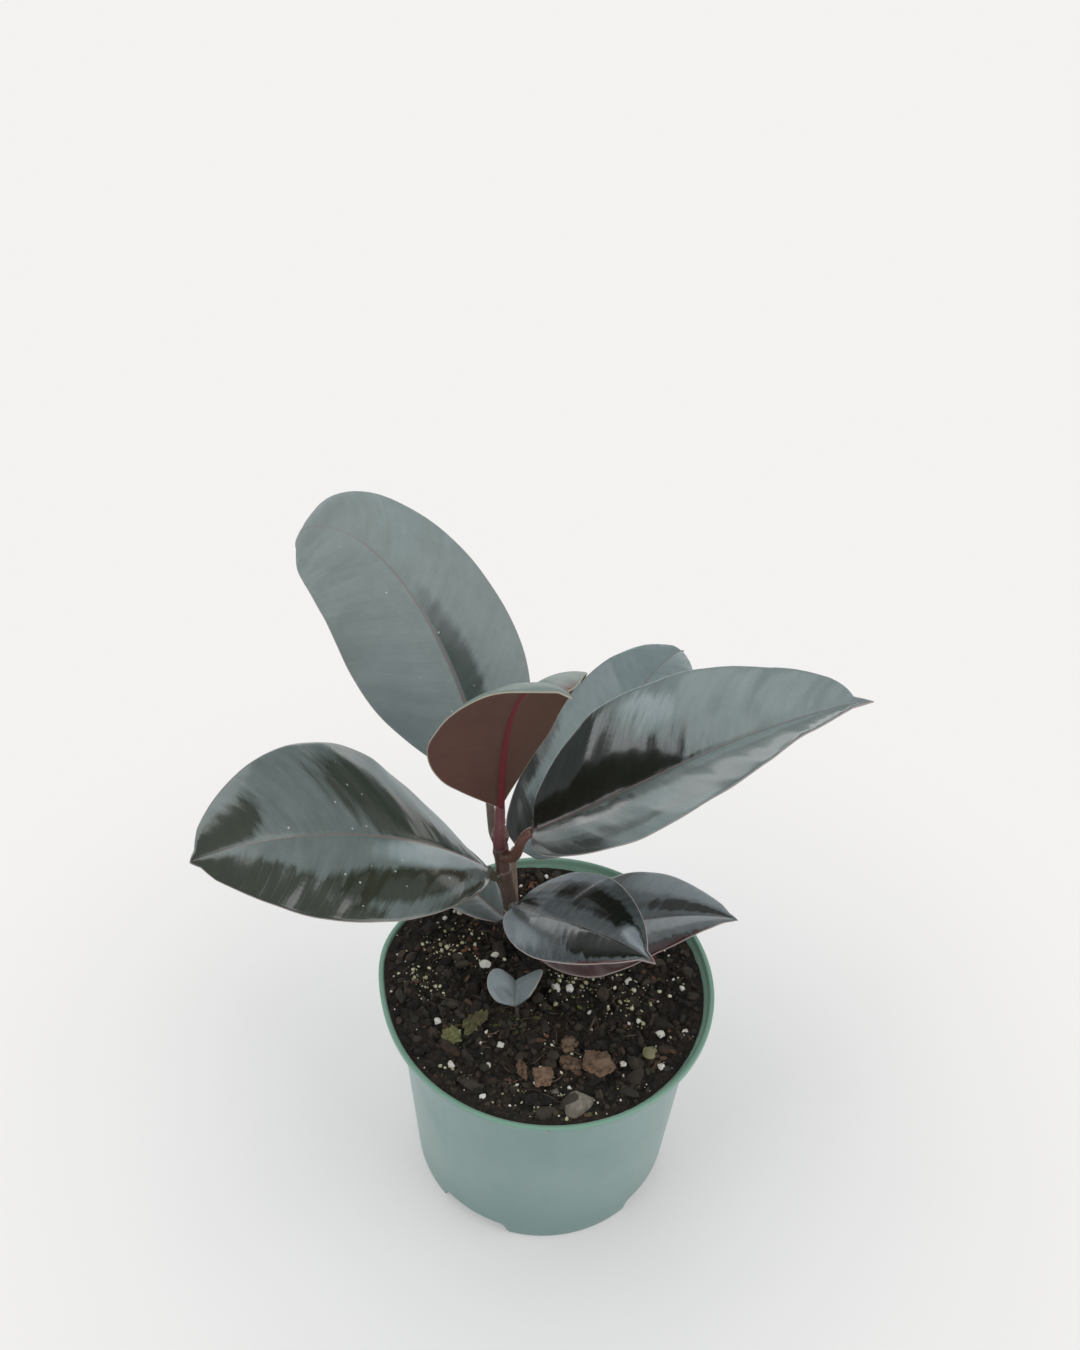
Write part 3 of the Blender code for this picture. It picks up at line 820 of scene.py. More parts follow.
@dataclass(frozen=True)
class LeafSkin:
    """The two faces of a leaf, its waxy dust and painted sheen, its ribs and its pale margin.

    haze is the share of the upper face that the grey bloom colour covers: partly real waxy dust, partly
    painted sheen standing in for reflections. uneven is how much that varies, and ragged how far the patches'
    edges fray;
    the patches add painted sheen, or take it off to paint dark reflections and shade. flush holds the
    reddened places, and silver is the colour of the painted reflection where the sheen lies thickest. specks
    and vein_share are the strength of the white specks and the side veins.
    """

    name: str
    upper: Rgb = (0.007, 0.011, 0.008)
    upper_light: Rgb = (0.014, 0.021, 0.015)
    bloom_and_sheen: Rgb = (0.2, 0.25, 0.245)
    painted_reflection: Rgb = (0.42, 0.47, 0.5)
    haze: float = 0.42
    uneven: float = 1.0
    patches: tuple[Patch, ...] = ()
    ragged: float = 1.0
    flush: tuple[Patch, ...] = ()
    flush_colour: Rgb = (0.09, 0.035, 0.033)
    vein: Rgb = (0.05, 0.07, 0.055)
    rib_upper: Rgb = (0.2, 0.14, 0.13)
    under: Rgb = (0.1, 0.085, 0.04)
    under_dark: Rgb = (0.065, 0.045, 0.03)
    rib_under: Rgb = (0.3, 0.06, 0.06)
    margin: Rgb = (0.42, 0.34, 0.31)
    stalk: Rgb = (0.15, 0.08, 0.055)
    stalk_light: Rgb = (0.3, 0.19, 0.14)
    specks: float = 0.0
    speck_colour: Rgb = (0.55, 0.55, 0.5)
    vein_share: float = 0.1
    roughness: float = 0.17
    coat: float = 0.7

    def build(self) -> Finish:
        """Makes the material.

        Returns:
            The material, which reads the leaf's marks.
        """
        graph = Graph(self.name)
        place = graph.place()
        vein = graph.attribute("vein")
        edge = graph.attribute("edge")
        rib = graph.attribute("rib")
        side = graph.attribute("side")
        under = graph.rise(graph.attribute("under"), 0.35, 0.65)
        stalk = graph.rise(graph.attribute("stalk"), 0.05, 0.95)
        along = graph.attribute("along")
        mottle = graph.clouds(place, 90.0, 4.0, 0.6)
        dust = graph.clouds(place, 35.0, 5.0, 0.65)
        # streaks run from the midrib to the margin, as the side veins do
        vein_frame = graph.node("ShaderNodeCombineXYZ", None, {0: vein * 1.3, 1: rib * 0.045, 2: side * 1.5})
        streaks = graph.clouds(Port(graph, vein_frame.outputs[0]), 1.0, 4.0, 0.55)
        line = graph.maths("PINGPONG", vein, 0.5) * 2
        veins = graph.rise(line, 0.86, 1.0)
        ragged = (streaks - 0.5) * self.ragged
        # the grey bloom colour's share: partly real waxy dust, partly painted sheen in place of reflections
        haze = self.haze + ((dust - 0.5) * 0.3 + (streaks - 0.5) * 0.45) * self.uneven
        # the patches paint sheen, and where their gain is below 0, dark reflections and shade
        for patch in self.patches:
            haze = haze + patch.share(graph, along, side, ragged)
        # thick: where the painted sheen lies thickest, coloured as a painted silvery reflection
        thick = graph.ease(haze, 1.0, 2.0)
        haze = graph.ease(haze, 0.0, 1.0)
        upper = graph.blend(mottle, self.upper, self.upper_light)
        # a lighter tone of the same dust and painted sheen, for blotches
        bloom_and_sheen_light = tuple(min(1.0, channel * 1.22) for channel in self.bloom_and_sheen)
        blotches = graph.ease(graph.clouds(place, 120.0, 6.0, 0.7), 0.38, 0.66)
        upper = graph.blend(haze, upper, graph.blend(blotches * 0.6, self.bloom_and_sheen, bloom_and_sheen_light))
        # the painted reflection where the sheen lies thickest
        upper = graph.blend(thick, upper, self.painted_reflection)
        for patch in self.flush:
            upper = graph.blend(patch.share(graph, along, side, ragged), upper, self.flush_colour)
        upper = graph.blend(veins * self.vein_share, upper, self.vein)
        rib_width = graph.ease(along, 0.0, 1.0, 0.95, 0.3)
        rib_share = 1 - graph.rise(rib / rib_width, 0.45, 1.15)
        rib_fade = graph.ease(along, 0.1, 0.95, 0.85, 0.4)
        upper = graph.blend(rib_share * rib_fade, upper, self.rib_upper)
        net = 1 - graph.rise(graph.cells(place, 900.0, "DISTANCE_TO_EDGE"), 0.0, 0.12)
        lower = graph.blend(mottle * 0.5 + 0.25 - side * 0.3, self.under, self.under_dark)
        lower = graph.blend(veins * 0.4 + net * 0.18, lower, self.vein)
        rib_under = 1 - graph.rise(graph.attribute("keel"), 0.6, 1.05)
        lower = graph.blend(rib_under * 0.9, lower, self.rib_under)
        colour = graph.blend(under, upper, lower)
        fine_edge = edge + (graph.clouds(place, 300.0, 2.0) - 0.5) * 0.2
        margin = 1 - graph.rise(fine_edge, 0.15, 0.5)
        colour = graph.blend(margin * 0.8, colour, self.margin)
        stalk_colour = graph.blend(graph.clouds(place, 220.0), self.stalk, self.stalk_light)
        colour = graph.blend(stalk, colour, stalk_colour)
        dots = 1 - graph.rise(graph.cells(place, 150.0), 0.045, 0.09)
        chosen = graph.rise(graph.clouds(place, 60.0, 1.0), 0.46, 0.52)
        speck = dots * chosen * (1 - under) * (1 - stalk) * self.specks
        colour = graph.blend(speck, colour, self.speck_colour)
        roughness = self.roughness + under * 0.25 + haze * 0.22 + dust * 0.06 + speck * 0.4 + margin * 0.15
        swell = (1 - abs(line * 2 - 1) ** 2) * 0.012
        height = swell - veins * 0.02 * (1 - under * 2) + graph.clouds(place, 700.0) * 0.03
        return graph.dress(
            base_color=colour,
            roughness=roughness,
            normal=graph.relief(height + net * under * 0.03, 0.8),
            ior=1.5,
            coat_weight=(1 - under) * (1 - stalk) * (1 - haze * 0.8) * self.coat,
            coat_roughness=0.12,
            coat_ior=1.5,
        )


@dataclass(frozen=True)
class LeafForm:
    """One leaf's growth, with lengths in millimetres and angles in degrees.

    heading is the compass turn of the midrib from +X towards +Y: at its start, at its tip, and its
    sideways bow. rise is the midrib's slope at its start, the slope it would end at, and the extra
    droop of the tip. roll turns the blade about its midrib. fold lifts each half at the midrib, and
    curl is the slope of the left and right half at the margin. stalk is the stalk's radius, the angle
    at which it leaves the stem above level, and how much of its length its upper bend takes. tip is the
    share of the length that the drip tip takes, and its half width at its root. A leaf with a foot
    grows out of the mix at that x and y instead of out of the stem.
    """

    name: str
    joint_height: float
    base: Triple
    length: float
    width: float
    heading: Triple
    rise: Triple
    roll: Pair
    fold: float
    curl: Pair
    widest: float
    base_blunt: float
    tip_blunt: float
    lopsided: float
    stalk: Triple
    tip: Pair = (0.05, 4.0)
    tip_power: int = 5
    foot: Pair | None = None
    wave: float = 0.5
    pucker: float = 1.0
    vein_gap: float = 5.0


@dataclass
class StemLine:
    """The stem's centre line and thickness, as the construction solids have it."""

    foot_height: float = 113 * MM
    top: float = 199 * MM
    foot: Pair = (-10.5 * MM, 19 * MM)
    lean: Pair = (-15 * MM, 3 * MM)
    lean_height: float = 83 * MM
    lean_power: float = 1.6
    low_radius: float = 3.9 * MM
    top_radius: float = 3.0 * MM

    def point(self, height: float) -> Vector:
        """Finds the middle of the stem.

        Args:
            height: How high.

        Returns:
            The middle there.
        """
        share = (height - self.foot_height) / self.lean_height
        bend = 1 - max(0.0, 1 - share) ** self.lean_power
        return Vector((self.foot[0] + self.lean[0] * bend, self.foot[1] + self.lean[1] * share, height))

    def radius(self, height: float) -> float:
        """Plain radius of the stem at a height."""
        share = min(1.0, max(0.0, (height - self.foot_height) / (self.top - self.foot_height)))
        return self.low_radius + (self.top_radius - self.low_radius) * share


class Blade:
    """The middle surface of a leaf blade, worked out from its form."""

    steps = 400

    def __init__(self, form: LeafForm) -> None:
        """Follows the midrib from the blade's base to its tip.

        Args:
            form: The leaf's form.
        """
        self.form = form
        share = (np.arange(self.steps) + 0.5) / self.steps
        along, _, _ = self.directions(share)
        run = np.cumsum(along * form.length * MM / self.steps, axis=0)
        self._line = np.vstack([np.zeros(3), run]) + np.array(form.base) * MM
        self._marks = np.linspace(0, 1, self.steps + 1)

    def directions(self, share: Array) -> tuple[Array, Array, Array]:
        """Finds the way that the blade lies.

        Args:
            share: Shares of the blade's length.

        Returns:
            Directions along the midrib, across the blade and out of its upper face.
        """
        form = self.form
        start, end, bow = form.heading
        heading = np.radians(start + (end - start) * share + bow * 4 * share * (share - 1))
        start, end, droop = form.rise
        rise = np.radians(start + (end - start) * share + droop * share**form.tip_power)
        along = rows_of(np.cos(rise) * np.cos(heading), np.cos(rise) * np.sin(heading), np.sin(rise))
        level = rows_of(-np.sin(heading), np.cos(heading), np.zeros_like(heading))
        up = np.cross(along, level)
        roll = np.radians(form.roll[0] + (form.roll[1] - form.roll[0]) * share)[:, None]
        across = level * np.cos(roll) + up * np.sin(roll)
        return along, across, np.cross(along, across)

    def midrib(self, share: Array) -> Array:
        """Points on the midrib at shares of the length."""
        return rows_of(*(np.interp(share, self._marks, self._line[:, axis]) for axis in range(3)))

    def half_width(self, share: Array) -> Array:
        """Finds the blade's outline, with its narrow drip tip.

        Args:
            share: Shares of the blade's length.

        Returns:
            Half the width there, in metres.
        """
        form = self.form
        tip_share, tip_half_width = form.tip
        body_share = np.clip(share / (1 - tip_share), 1e-9, 1)
        blunt = form.base_blunt + (form.tip_blunt - form.base_blunt) * share
        body = np.clip(np.sin(np.pi * body_share**form.widest), 0, 1) ** blunt
        along = np.clip((1 - share) / (2.2 * tip_share), 0, 1)
        tip = 2 * tip_half_width / form.width * along**0.8 * np.clip(share / 0.3, 0, 1)
        return form.width * MM / 2 * np.hypot(body, tip)

    def section(self, side: Array, half: Array) -> tuple[Array, Array, Array]:
        """Where a point across the blade lies, seen along the midrib.

        Args:
            side: Place across, from -1 at the right margin to 1 at the left one.
            half: Half the width there, in metres.

        Returns:
            Sideways run, lift, and the slope of the surface in radians, signed by side.
        """
        hand = np.where(side >= 0, 1.0, -1.0)
        reach = np.abs(side)
        curl = np.where(hand > 0, *self.form.curl)
        start = math.radians(self.form.fold)
        change = np.radians(curl - self.form.fold)
        change = np.where(np.abs(change) < 1e-4, 1e-4, change)
        end = start + change * reach
        scale = half * (1 + self.form.lopsided * hand)
        run = (np.sin(end) - math.sin(start)) / change * scale
        lift = (math.cos(start) - np.cos(end)) / change * scale
        return hand * run, lift, hand * end


@dataclass(frozen=True)
class Spots:
    """Places on a blade: how far along the midrib and off it, half the width there, and -1 to 1 across."""

    along_mm: Array
    off_mm: Array
    half_mm: Array
    side: Array


@dataclass
class Leaf:
    """A leaf with its stalk: one closed skin wrapped round the stalk and over both faces of the blade.

    rim_mm, groove_mm and crest_mm are each a reach and a depth: the margin's turn down, the groove over
    the midrib, and the fine ridge in it. keel_mm is the midrib's width and depth under the tip, and
    keel_gain what they gain towards the stalk, in its radii.
    """

    form: LeafForm
    skin: LeafSkin
    stem: StemLine
    slot: Slot = Slot.LEAF
    rings: int = 190
    stalk_rings: int = 30
    rooted_rings: int = 7
    columns: int = 97
    thickness: float = 0.62 * MM
    side_vein_swell: float = 0.1
    puckers_mm: tuple[Pair, ...] = ((9.0, 0.07), (14.0, 0.13), (23.0, 0.2), (37.0, 0.24))
    margin_waves_mm: Pair = (47, 21)
    rim_mm: Pair = (1.2, 0.25)
    groove_mm: Pair = (1.1, 0.28)
    crest_mm: Pair = (0.35, 0.12)
    keel_mm: Pair = (0.6, 0.12)
    keel_gain: Pair = (0.66, 0.9)
    join_mm: float = 3.4
    seed: int = 1

    def across_places(self) -> tuple[Array, Array]:
        """Places the columns across the blade, close together at the midrib and the margins.

        Returns:
            Each column's place, -1 to 1, and its face: 1 above, -1 below, 0 where they meet.
        """
        half = (self.columns - 1) // 2
        way = np.abs(np.linspace(-1, 1, half + 1))
        spread = np.sin((way**1.9) * np.pi / 2) * np.sign(np.linspace(-1, 1, half + 1))
        side = np.concatenate([-spread, spread[1:]])
        face = np.concatenate([np.ones(half + 1), -np.ones(half)])
        face[[0, half, -1]] = 0.0
        return side, face

    def along_places(self) -> Array:
        """Shares of the length for the blade's rings, closer together at the base and the drip tip."""
        even = np.linspace(0, 1, self.rings)
        return even * 0.45 + (1 - np.cos(np.pi * even)) / 2 * 0.55

    def ripple(self, spots: Spots) -> Array:
        """Works out the leaf's own unevenness: swells between side veins, soft puckers, a wavy margin.

        Args:
            spots: Places on the blade.

        Returns:
            Height above the plain middle surface, in metres.
        """
        form, along_mm, off_mm, side = self.form, spots.along_mm, spots.off_mm, spots.side
        draw = np.random.default_rng(self.seed)
        vein = self.vein_place(spots)
        fade = smooth_rise(off_mm, 0.5, 5.0) * (1 - smooth_rise(np.abs(side), 0.86, 1.0) * 0.7)
        strength = 0.55 + 0.45 * np.sin(np.floor(vein) * 12.9898 + self.seed * 4.1 + np.sign(side))
        total = self.side_vein_swell * form.pucker * strength * (np.sin(np.pi * vein) ** 2 - 0.5)
        hand = np.where(side >= 0, 1.0, 2.0)
        for wavelength, size in self.puckers_mm:
            phase = draw.uniform(0, math.tau, 3)
            skew = draw.uniform(-0.5, 0.5)
            wave = np.sin(math.tau * vein * form.vein_gap / wavelength + phase[0] * hand + skew * off_mm / 9)
            total += form.pucker * size * wave * np.sin(off_mm / (wavelength * 0.9) + phase[1])
        lap = draw.uniform(0, math.tau)
        total = total * fade
        long_wave, short_wave = self.margin_waves_mm
        total += form.wave * np.abs(side) ** 3 * np.sin(math.tau * along_mm / long_wave + lap * hand)
        total += 0.35 * form.wave * np.abs(side) ** 4 * np.sin(math.tau * along_mm / short_wave + lap)
        return total * MM

    def vein_place(self, spots: Spots) -> Array:
        """Finds which side vein each place is on. The veins bend towards the tip near the margin.

        Args:
            spots: Places on the blade.

        Returns:
            The vein's number, where whole numbers lie half way between veins.
        """
        bend = 0.34 * spots.off_mm + 0.3 * spots.off_mm**2 / np.maximum(spots.half_mm, 8.0)
        stagger = np.where(spots.side >= 0, 0.0, 0.5)
        return (spots.along_mm - bend) / self.form.vein_gap + stagger + 40.0

    def blade_skin(self, blade: Blade, share: Array) -> tuple[Array, dict[str, Array]]:
        """Wraps the skin over both faces of the blade.

        Args:
            blade: The blade's middle surface.
            share: Each ring's share of the length.

        Returns:
            The points, ring by ring, and the marks that the finish reads at each of them.
        """
        form = self.form
        side, face = self.across_places()
        shape = (len(share), len(side))
        across = np.broadcast_to(side, shape)
        facing = np.broadcast_to(face, shape)
        half = blade.half_width(share)[:, None] * np.ones(shape)
        run, lift, slope = blade.section(across, half)
        off_mm = np.abs(across) * half / MM
        half_mm = half / MM
        spots = Spots(share[:, None] * form.length * np.ones(shape), off_mm, half_mm, across)
        lift = lift + self.ripple(spots)
        edge_mm = (1 - np.abs(across)) * half_mm
        rim = np.clip(1 - edge_mm / self.rim_mm[0], 0, 1)
        lift = lift - rim**2 * self.rim_mm[1] * MM
        body = self.thickness / 2 * (0.35 + 0.65 * np.clip(edge_mm / 0.8, 0, 1) ** 0.5)
        depth = facing * body * np.clip(half_mm / 2.0, 0.15, 1)
        left = 1 - share[:, None]
        groove = self.groove_mm[1] * np.exp(-((off_mm / self.groove_mm[0]) ** 2)) * left**0.5
        groove = groove - self.crest_mm[1] * np.exp(-((off_mm / self.crest_mm[0]) ** 2)) * left
        keel_width = self.keel_mm[0] + self.keel_gain[0] * form.stalk[0] * left
        keel_depth = self.keel_gain[1] * form.stalk[0] * left**1.6 + self.keel_mm[1]
        keel = keel_depth * np.exp(-((off_mm / keel_width) ** 4))
        depth = depth - np.where(facing > 0, groove, 0) * MM - np.where(facing < 0, keel, 0) * MM
        x = run - np.sin(slope) * depth
        y = lift + np.cos(slope) * depth
        way = np.linspace(0, math.tau, self.columns)[None, :]
        stalk = form.stalk[0] * MM
        round_x = -np.cos(way) * stalk
        round_y = np.sin(way) * stalk
        joined = smooth_rise(share[:, None] * form.length, 0.0, self.join_mm)
        x = round_x * (1 - joined) + x * joined
        y = round_y * (1 - joined) + y * joined
        _, sideways, out = blade.directions(share)
        points = blade.midrib(share)[:, None, :] + sideways[:, None, :] * x[..., None]
        points = points + out[:, None, :] * y[..., None]
        marks = {
            "vein": self.vein_place(spots),
            "edge": edge_mm + (1 - joined) * 5,
            "rib": off_mm,
            "side": across,
            "keel": off_mm / keel_width,
            "under": 0.5 - 0.5 * facing,
            "stalk": (1 - joined) * np.ones(shape),
            "along": share[:, None] * np.ones(shape),
        }
        return points, marks

    def stalk_start(self) -> tuple[Vector, Vector, Vector, Vector]:
        """Where the stalk comes out of the stem or the mix.

        Returns:
            A point inside the stem, the way the stalk points there, where it comes out, and the way
            it points there.
        """
        form = self.form
        up = Vector((0, 0, 1))
        if form.foot is not None:
            start = Vector((form.foot[0] * MM, form.foot[1] * MM, form.base[2] * MM - 3.2 * MM))
            return start - up * 4 * MM, up, start, up
        radius, rise_deg, _ = form.stalk
        rise = math.radians(rise_deg)
        joint = self.stem.point(form.joint_height * MM)
        level = Vector((form.base[0] * MM - joint.x, form.base[1] * MM - joint.y, 0)).normalized()
        reach = self.stem.radius(form.joint_height * MM) + 0.5 * MM + radius * MM * math.sin(rise)
        inner = joint + level * 0.5 * MM - up * reach * math.sin(rise) * 1.1
        out = level * math.cos(rise) + up * math.sin(rise)
        return inner, (level + up).normalized(), joint + level * reach, out

    def stalk_skin(self, blade: Blade) -> Array:
        """Wraps the skin round the stalk, from inside the stem or the mix to the blade's base.

        Args:
            blade: The blade's middle surface.

        Returns:
            The points, ring by ring.
        """
        form = self.form
        radius, _, knee = form.stalk
        base = Vector(form.base) * MM
        inner, inner_way, start, out = self.stalk_start()
        along, across, _ = (Vector(axis[0]) for axis in blade.directions(np.zeros(1)))
        span = (base - start).length
        near = (start - inner).length
        rooted = (inner, inner + inner_way * near * 0.35, start - out * near * 0.35, start)
        free = (start, start + out * span * 0.35, base - along * span * knee, base)
        rings = []
        way = np.linspace(0, math.tau, self.columns)
        for step in range(self.stalk_rings):
            if step < self.rooted_rings:
                share = step / self.rooted_rings
                centre, line = on_curve(rooted, share)
                swell = 0.02 if step == 0 else 1.3
            else:
                share = (step - self.rooted_rings) / (self.stalk_rings - self.rooted_rings)
                centre, line = on_curve(free, share)
                swell = 1 + 0.3 * (1 - share) ** 3
            wide = (across - line * across.dot(line)).normalized()
            high = line.cross(wide)
            dent = 1 - 0.1 * np.exp(-(((way - math.pi / 2) / 0.45) ** 2))
            size = radius * MM * swell
            ring = np.outer(-np.cos(way) * size, wide) + np.outer(np.sin(way) * size * dent, high)
            rings.append(ring + np.array(centre))
        return np.array(rings)

    def build(self) -> None:
        """Models the leaf, dresses it and puts it in place."""
        blade = Blade(self.form)
        share = self.along_places()
        skin, marks = self.blade_skin(blade, share)
        stalk = self.stalk_skin(blade)
        points = np.concatenate([stalk, skin])
        # what the stalk's own points are marked with, where it isn't 0
        fill = {"edge": 5.0, "stalk": 1.0, "vein": 40.25}
        for name, values in marks.items():
            plain = np.full((len(stalk), self.columns), fill.get(name, 0.0))
            marks[name] = np.concatenate([plain, values])
        piece = Bench.wrap(self.form.name + "_skin", points, marks, 2e-6)
        Bench.hand_over(piece, self.slot, self.skin.build(), self.form.name)


# ---- Stem and bud ----


@dataclass(frozen=True)
class YoungBark:
    """Smooth young bark: green-brown at the foot, brown-red higher up, with pale pores."""

    low: Rgb = (0.02, 0.023, 0.018)
    middle: Rgb = (0.065, 0.052, 0.042)
    high: Rgb = (0.15, 0.075, 0.06)
    ring: Rgb = (0.3, 0.2, 0.15)
    pore: Rgb = (0.22, 0.17, 0.12)
    roughness: float = 0.38

    def build(self, foot: float, top: float) -> Finish:
        """Makes the material.

        Args:
            foot: Height at which the stem comes out of the mix.
            top: Height of its tip.

        Returns:
            The material, which reads the mark of the leaf scars.
        """
        graph = Graph("young_bark")
        place = graph.place()
        height = graph.height_of(place)
        share = graph.ease(height, foot, top)
        share = share + (graph.clouds(place, 120.0) - 0.5) * 0.3
        colour = graph.shades(share, ((0.05, self.low), (0.45, self.middle), (0.95, self.high)))
        scar = graph.rise(graph.attribute("scar"), 0.3, 0.9)
        colour = graph.blend(scar * 0.75, colour, self.ring)
        spots = graph.cells(graph.stretched(place, (1.0, 1.0, 0.55)), 420.0)
        pores = 1 - graph.rise(spots, 0.08, 0.16)
        colour = graph.blend(pores * 0.6, colour, self.pore)
        fine = graph.clouds(graph.stretched(place, (1.0, 1.0, 0.25)), 900.0)
        return graph.dress(
            base_color=colour,
            roughness=self.roughness + fine * 0.15,
            normal=graph.relief(fine * 0.08 + pores * 0.08 + scar * 0.05, 0.9),
            ior=1.48,
            coat_weight=0.15,
            coat_roughness=0.3,
        )


@dataclass
class Stem:
    """The stem, with a swelling, a raised scar ring and a groove at each leaf joint.

    swell is its rise and its reach, and scar and groove are each a rise or depth, a reach and how far
    it lies above the joint.
    """

    line: StemLine
    joints_mm: tuple[float, ...]
    rooted: float = 100 * MM
    ring_gap: float = 0.45 * MM
    columns: int = 49
    swell: Pair = (0.5 * MM, 2.5 * MM)
    scar: Triple = (0.16 * MM, 0.4 * MM, 2.6 * MM)
    groove: Triple = (0.1 * MM, 0.5 * MM, 3.6 * MM)
    slant: float = 0.6 * MM
    ripple: Pair = (0.05 * MM, 0.04 * MM)
    finish: YoungBark = YoungBark()

    def build(self) -> None:
        """Models the stem, dresses it and puts it in place."""
        top = self.line.top
        count = round((top - self.rooted) / self.ring_gap)
        heights = np.linspace(self.rooted, top, count)
        way = np.linspace(0, math.tau, self.columns)
        points = np.empty((count + 2, self.columns, 3))
        scars = np.zeros((count + 2, self.columns))
        broad, fine = self.ripple
        for index, height in enumerate(heights):
            centre = self.line.point(height)
            lean = (self.line.point(height + MM) - self.line.point(height - MM)).normalized()
            wide = (Vector((1, 0, 0)) - lean * lean.x).normalized()
            high = lean.cross(wide)
            radius = np.full(self.columns, self.line.radius(height))
            for joint_mm in self.joints_mm:
                slant = self.slant * np.cos(way + joint_mm)
                away = height + slant - joint_mm * MM
                radius += self.swell[0] * np.exp(-((away / self.swell[1]) ** 2))
                ring = np.exp(-(((away - self.scar[2]) / self.scar[1]) ** 2))
                radius += self.scar[0] * ring
                radius -= self.groove[0] * np.exp(-(((away - self.groove[2]) / self.groove[1]) ** 2))
                scars[index + 1] = np.maximum(scars[index + 1], ring)
            radius += broad * np.sin(way * 3 + height * 400) + fine * np.sin(way * 7 - height * 900)
            offset = np.outer(np.cos(way) * radius, wide) + np.outer(np.sin(way) * radius, high)
            points[index + 1] = np.array(centre) + offset
        points[0] = np.array(self.line.point(self.rooted))
        points[-1] = np.array(self.line.point(top + 0.5 * MM))
        piece = Bench.wrap("stem_bark_skin", points, {"scar": scars})
        material = self.finish.build(self.line.foot_height, top)
        Bench.hand_over(piece, Slot.STEM, material, "stem")


@dataclass(frozen=True)
class SheathSkin:
    """Satin crimson sheath, paler along its seam."""

    deep: Rgb = (0.3, 0.03, 0.04)
    light: Rgb = (0.5, 0.12, 0.1)
    seam: Rgb = (0.6, 0.3, 0.25)
    roughness: float = 0.32

    def build(self) -> Finish:
        """Makes the material.

        Returns:
            The material, which reads the mark of the seam.
        """
        graph = Graph("bud_sheath")
        place = graph.place()
        streaks = graph.clouds(graph.stretched(place, (1.0, 1.0, 0.12)), 900.0)
        colour = graph.blend(streaks, self.deep, self.light)
        seam = graph.rise(graph.attribute("seam"), 0.4, 1.0)
        colour = graph.blend(seam * 0.6, colour, self.seam)
        return graph.dress(
            base_color=colour,
            roughness=self.roughness + streaks * 0.1,
            normal=graph.relief(streaks * 0.06, 0.8),
            ior=1.48,
            coat_weight=0.3,
            coat_roughness=0.2,
        )


@dataclass
class BudSheath:
    """The rolled, pointed sheath round the next leaf, standing on the stem's tip.

    outline is its fullness along the length, and laps the reach and rise of the roll's two edges.
    """

    line: StemLine
    length: float = 27 * MM
    radius: float = 2.2 * MM
    outline: tuple[Pair, ...] = (
        (0.0, 0.0), (0.04, 0.85), (0.12, 1.0), (0.35, 0.95), (0.6, 0.68), (0.85, 0.3), (1.0, 0.0)
    )
    twist: float = 2.6
    laps: tuple[Pair, Pair] = ((0.5, 0.16), (0.12, 0.05))
    seam: float = 0.14
    flute: float = 0.03
    bow: float = 0.9 * MM
    flatness: float = 0.9
    rings: int = 90
    columns: int = 41
    finish: SheathSkin = SheathSkin()

    def build(self) -> None:
        """Models the sheath, dresses it and puts it in place."""
        foot = self.line.point(self.line.top)
        lean = (foot - self.line.point(self.line.top - 5 * MM)).normalized()
        wide = (Vector((1, 0, 0)) - lean * lean.x).normalized()
        high = lean.cross(wide)
        share = np.linspace(0, 1, self.rings)
        fullness = np.interp(share, *zip(*self.outline))
        way = np.linspace(0, math.tau, self.columns)
        twist = share[:, None] * self.twist
        turn = (way[None, :] - twist) % math.tau
        (outer, outer_rise), (inner, inner_rise) = self.laps
        lap = np.exp(-((turn / outer) ** 2)) * outer_rise
        lap = lap + np.exp(-(((turn - math.tau) / inner) ** 2)) * inner_rise
        flute = self.flute * np.sin(3 * (way[None, :] - twist))
        radius = self.radius * fullness[:, None] * (1 + lap + flute)
        bow = self.bow * share**2
        centre = np.array(foot) + np.outer(share * self.length + 0.2 * MM, lean) + np.outer(bow, wide)
        x = np.cos(way)[None, :] * radius
        y = np.sin(way)[None, :] * radius * self.flatness
        points = centre[:, None, :] + x[..., None] * np.array(wide) + y[..., None] * np.array(high)
        seam = np.exp(-((np.minimum(turn, math.tau - turn) / self.seam) ** 2))
        piece = Bench.wrap("bud_sheath_skin", points, {"seam": seam}, degrees=60)
        Bench.hand_over(piece, Slot.BUD, self.finish.build(), "bud_sheath")


# ---- Potting mix and what lies on it ----


@dataclass(frozen=True)
class GrainFinish:
    """A rough natural surface that varies from grain to grain and within each grain.

    scale is the number of lumps in a metre, and layered draws them out in thin sheets, as in bark.
    """

    name: str
    dark: Rgb
    light: Rgb
    stain: Rgb
    stain_share: float = 0.3
    scale: float = 500.0
    bump_mm: float = 0.25
    roughness: float = 0.9
    layered: bool = False

    def build(self) -> Finish:
        """Makes the material.

        Returns:
            The material, which reads each grain's tone.
        """
        graph = Graph(self.name)
        place = graph.place()
        tone = graph.attribute("tone")
        if self.layered:
            place = graph.stretched(place, (0.35, 1.0, 1.6), (0.2, 0.1, 0.5))
        lumps = graph.clouds(place, self.scale, 5.0, 0.65)
        fine = graph.clouds(place, self.scale * 5, 3.0, 0.6)
        share = graph.ease(tone * 0.6 + lumps * 0.4, 0.2, 0.8)
        colour = graph.blend(share, self.dark, self.light)
        stains = graph.rise(graph.clouds(place, self.scale * 0.4, 3.0), 0.5, 0.68)
        colour = graph.blend(stains * self.stain_share, colour, self.stain)
        height = lumps * self.bump_mm + fine * self.bump_mm * 0.4
        return graph.dress(
            base_color=colour,
            roughness=self.roughness - fine * 0.1,
            normal=graph.relief(height, 0.9),
            ior=1.4,
        )


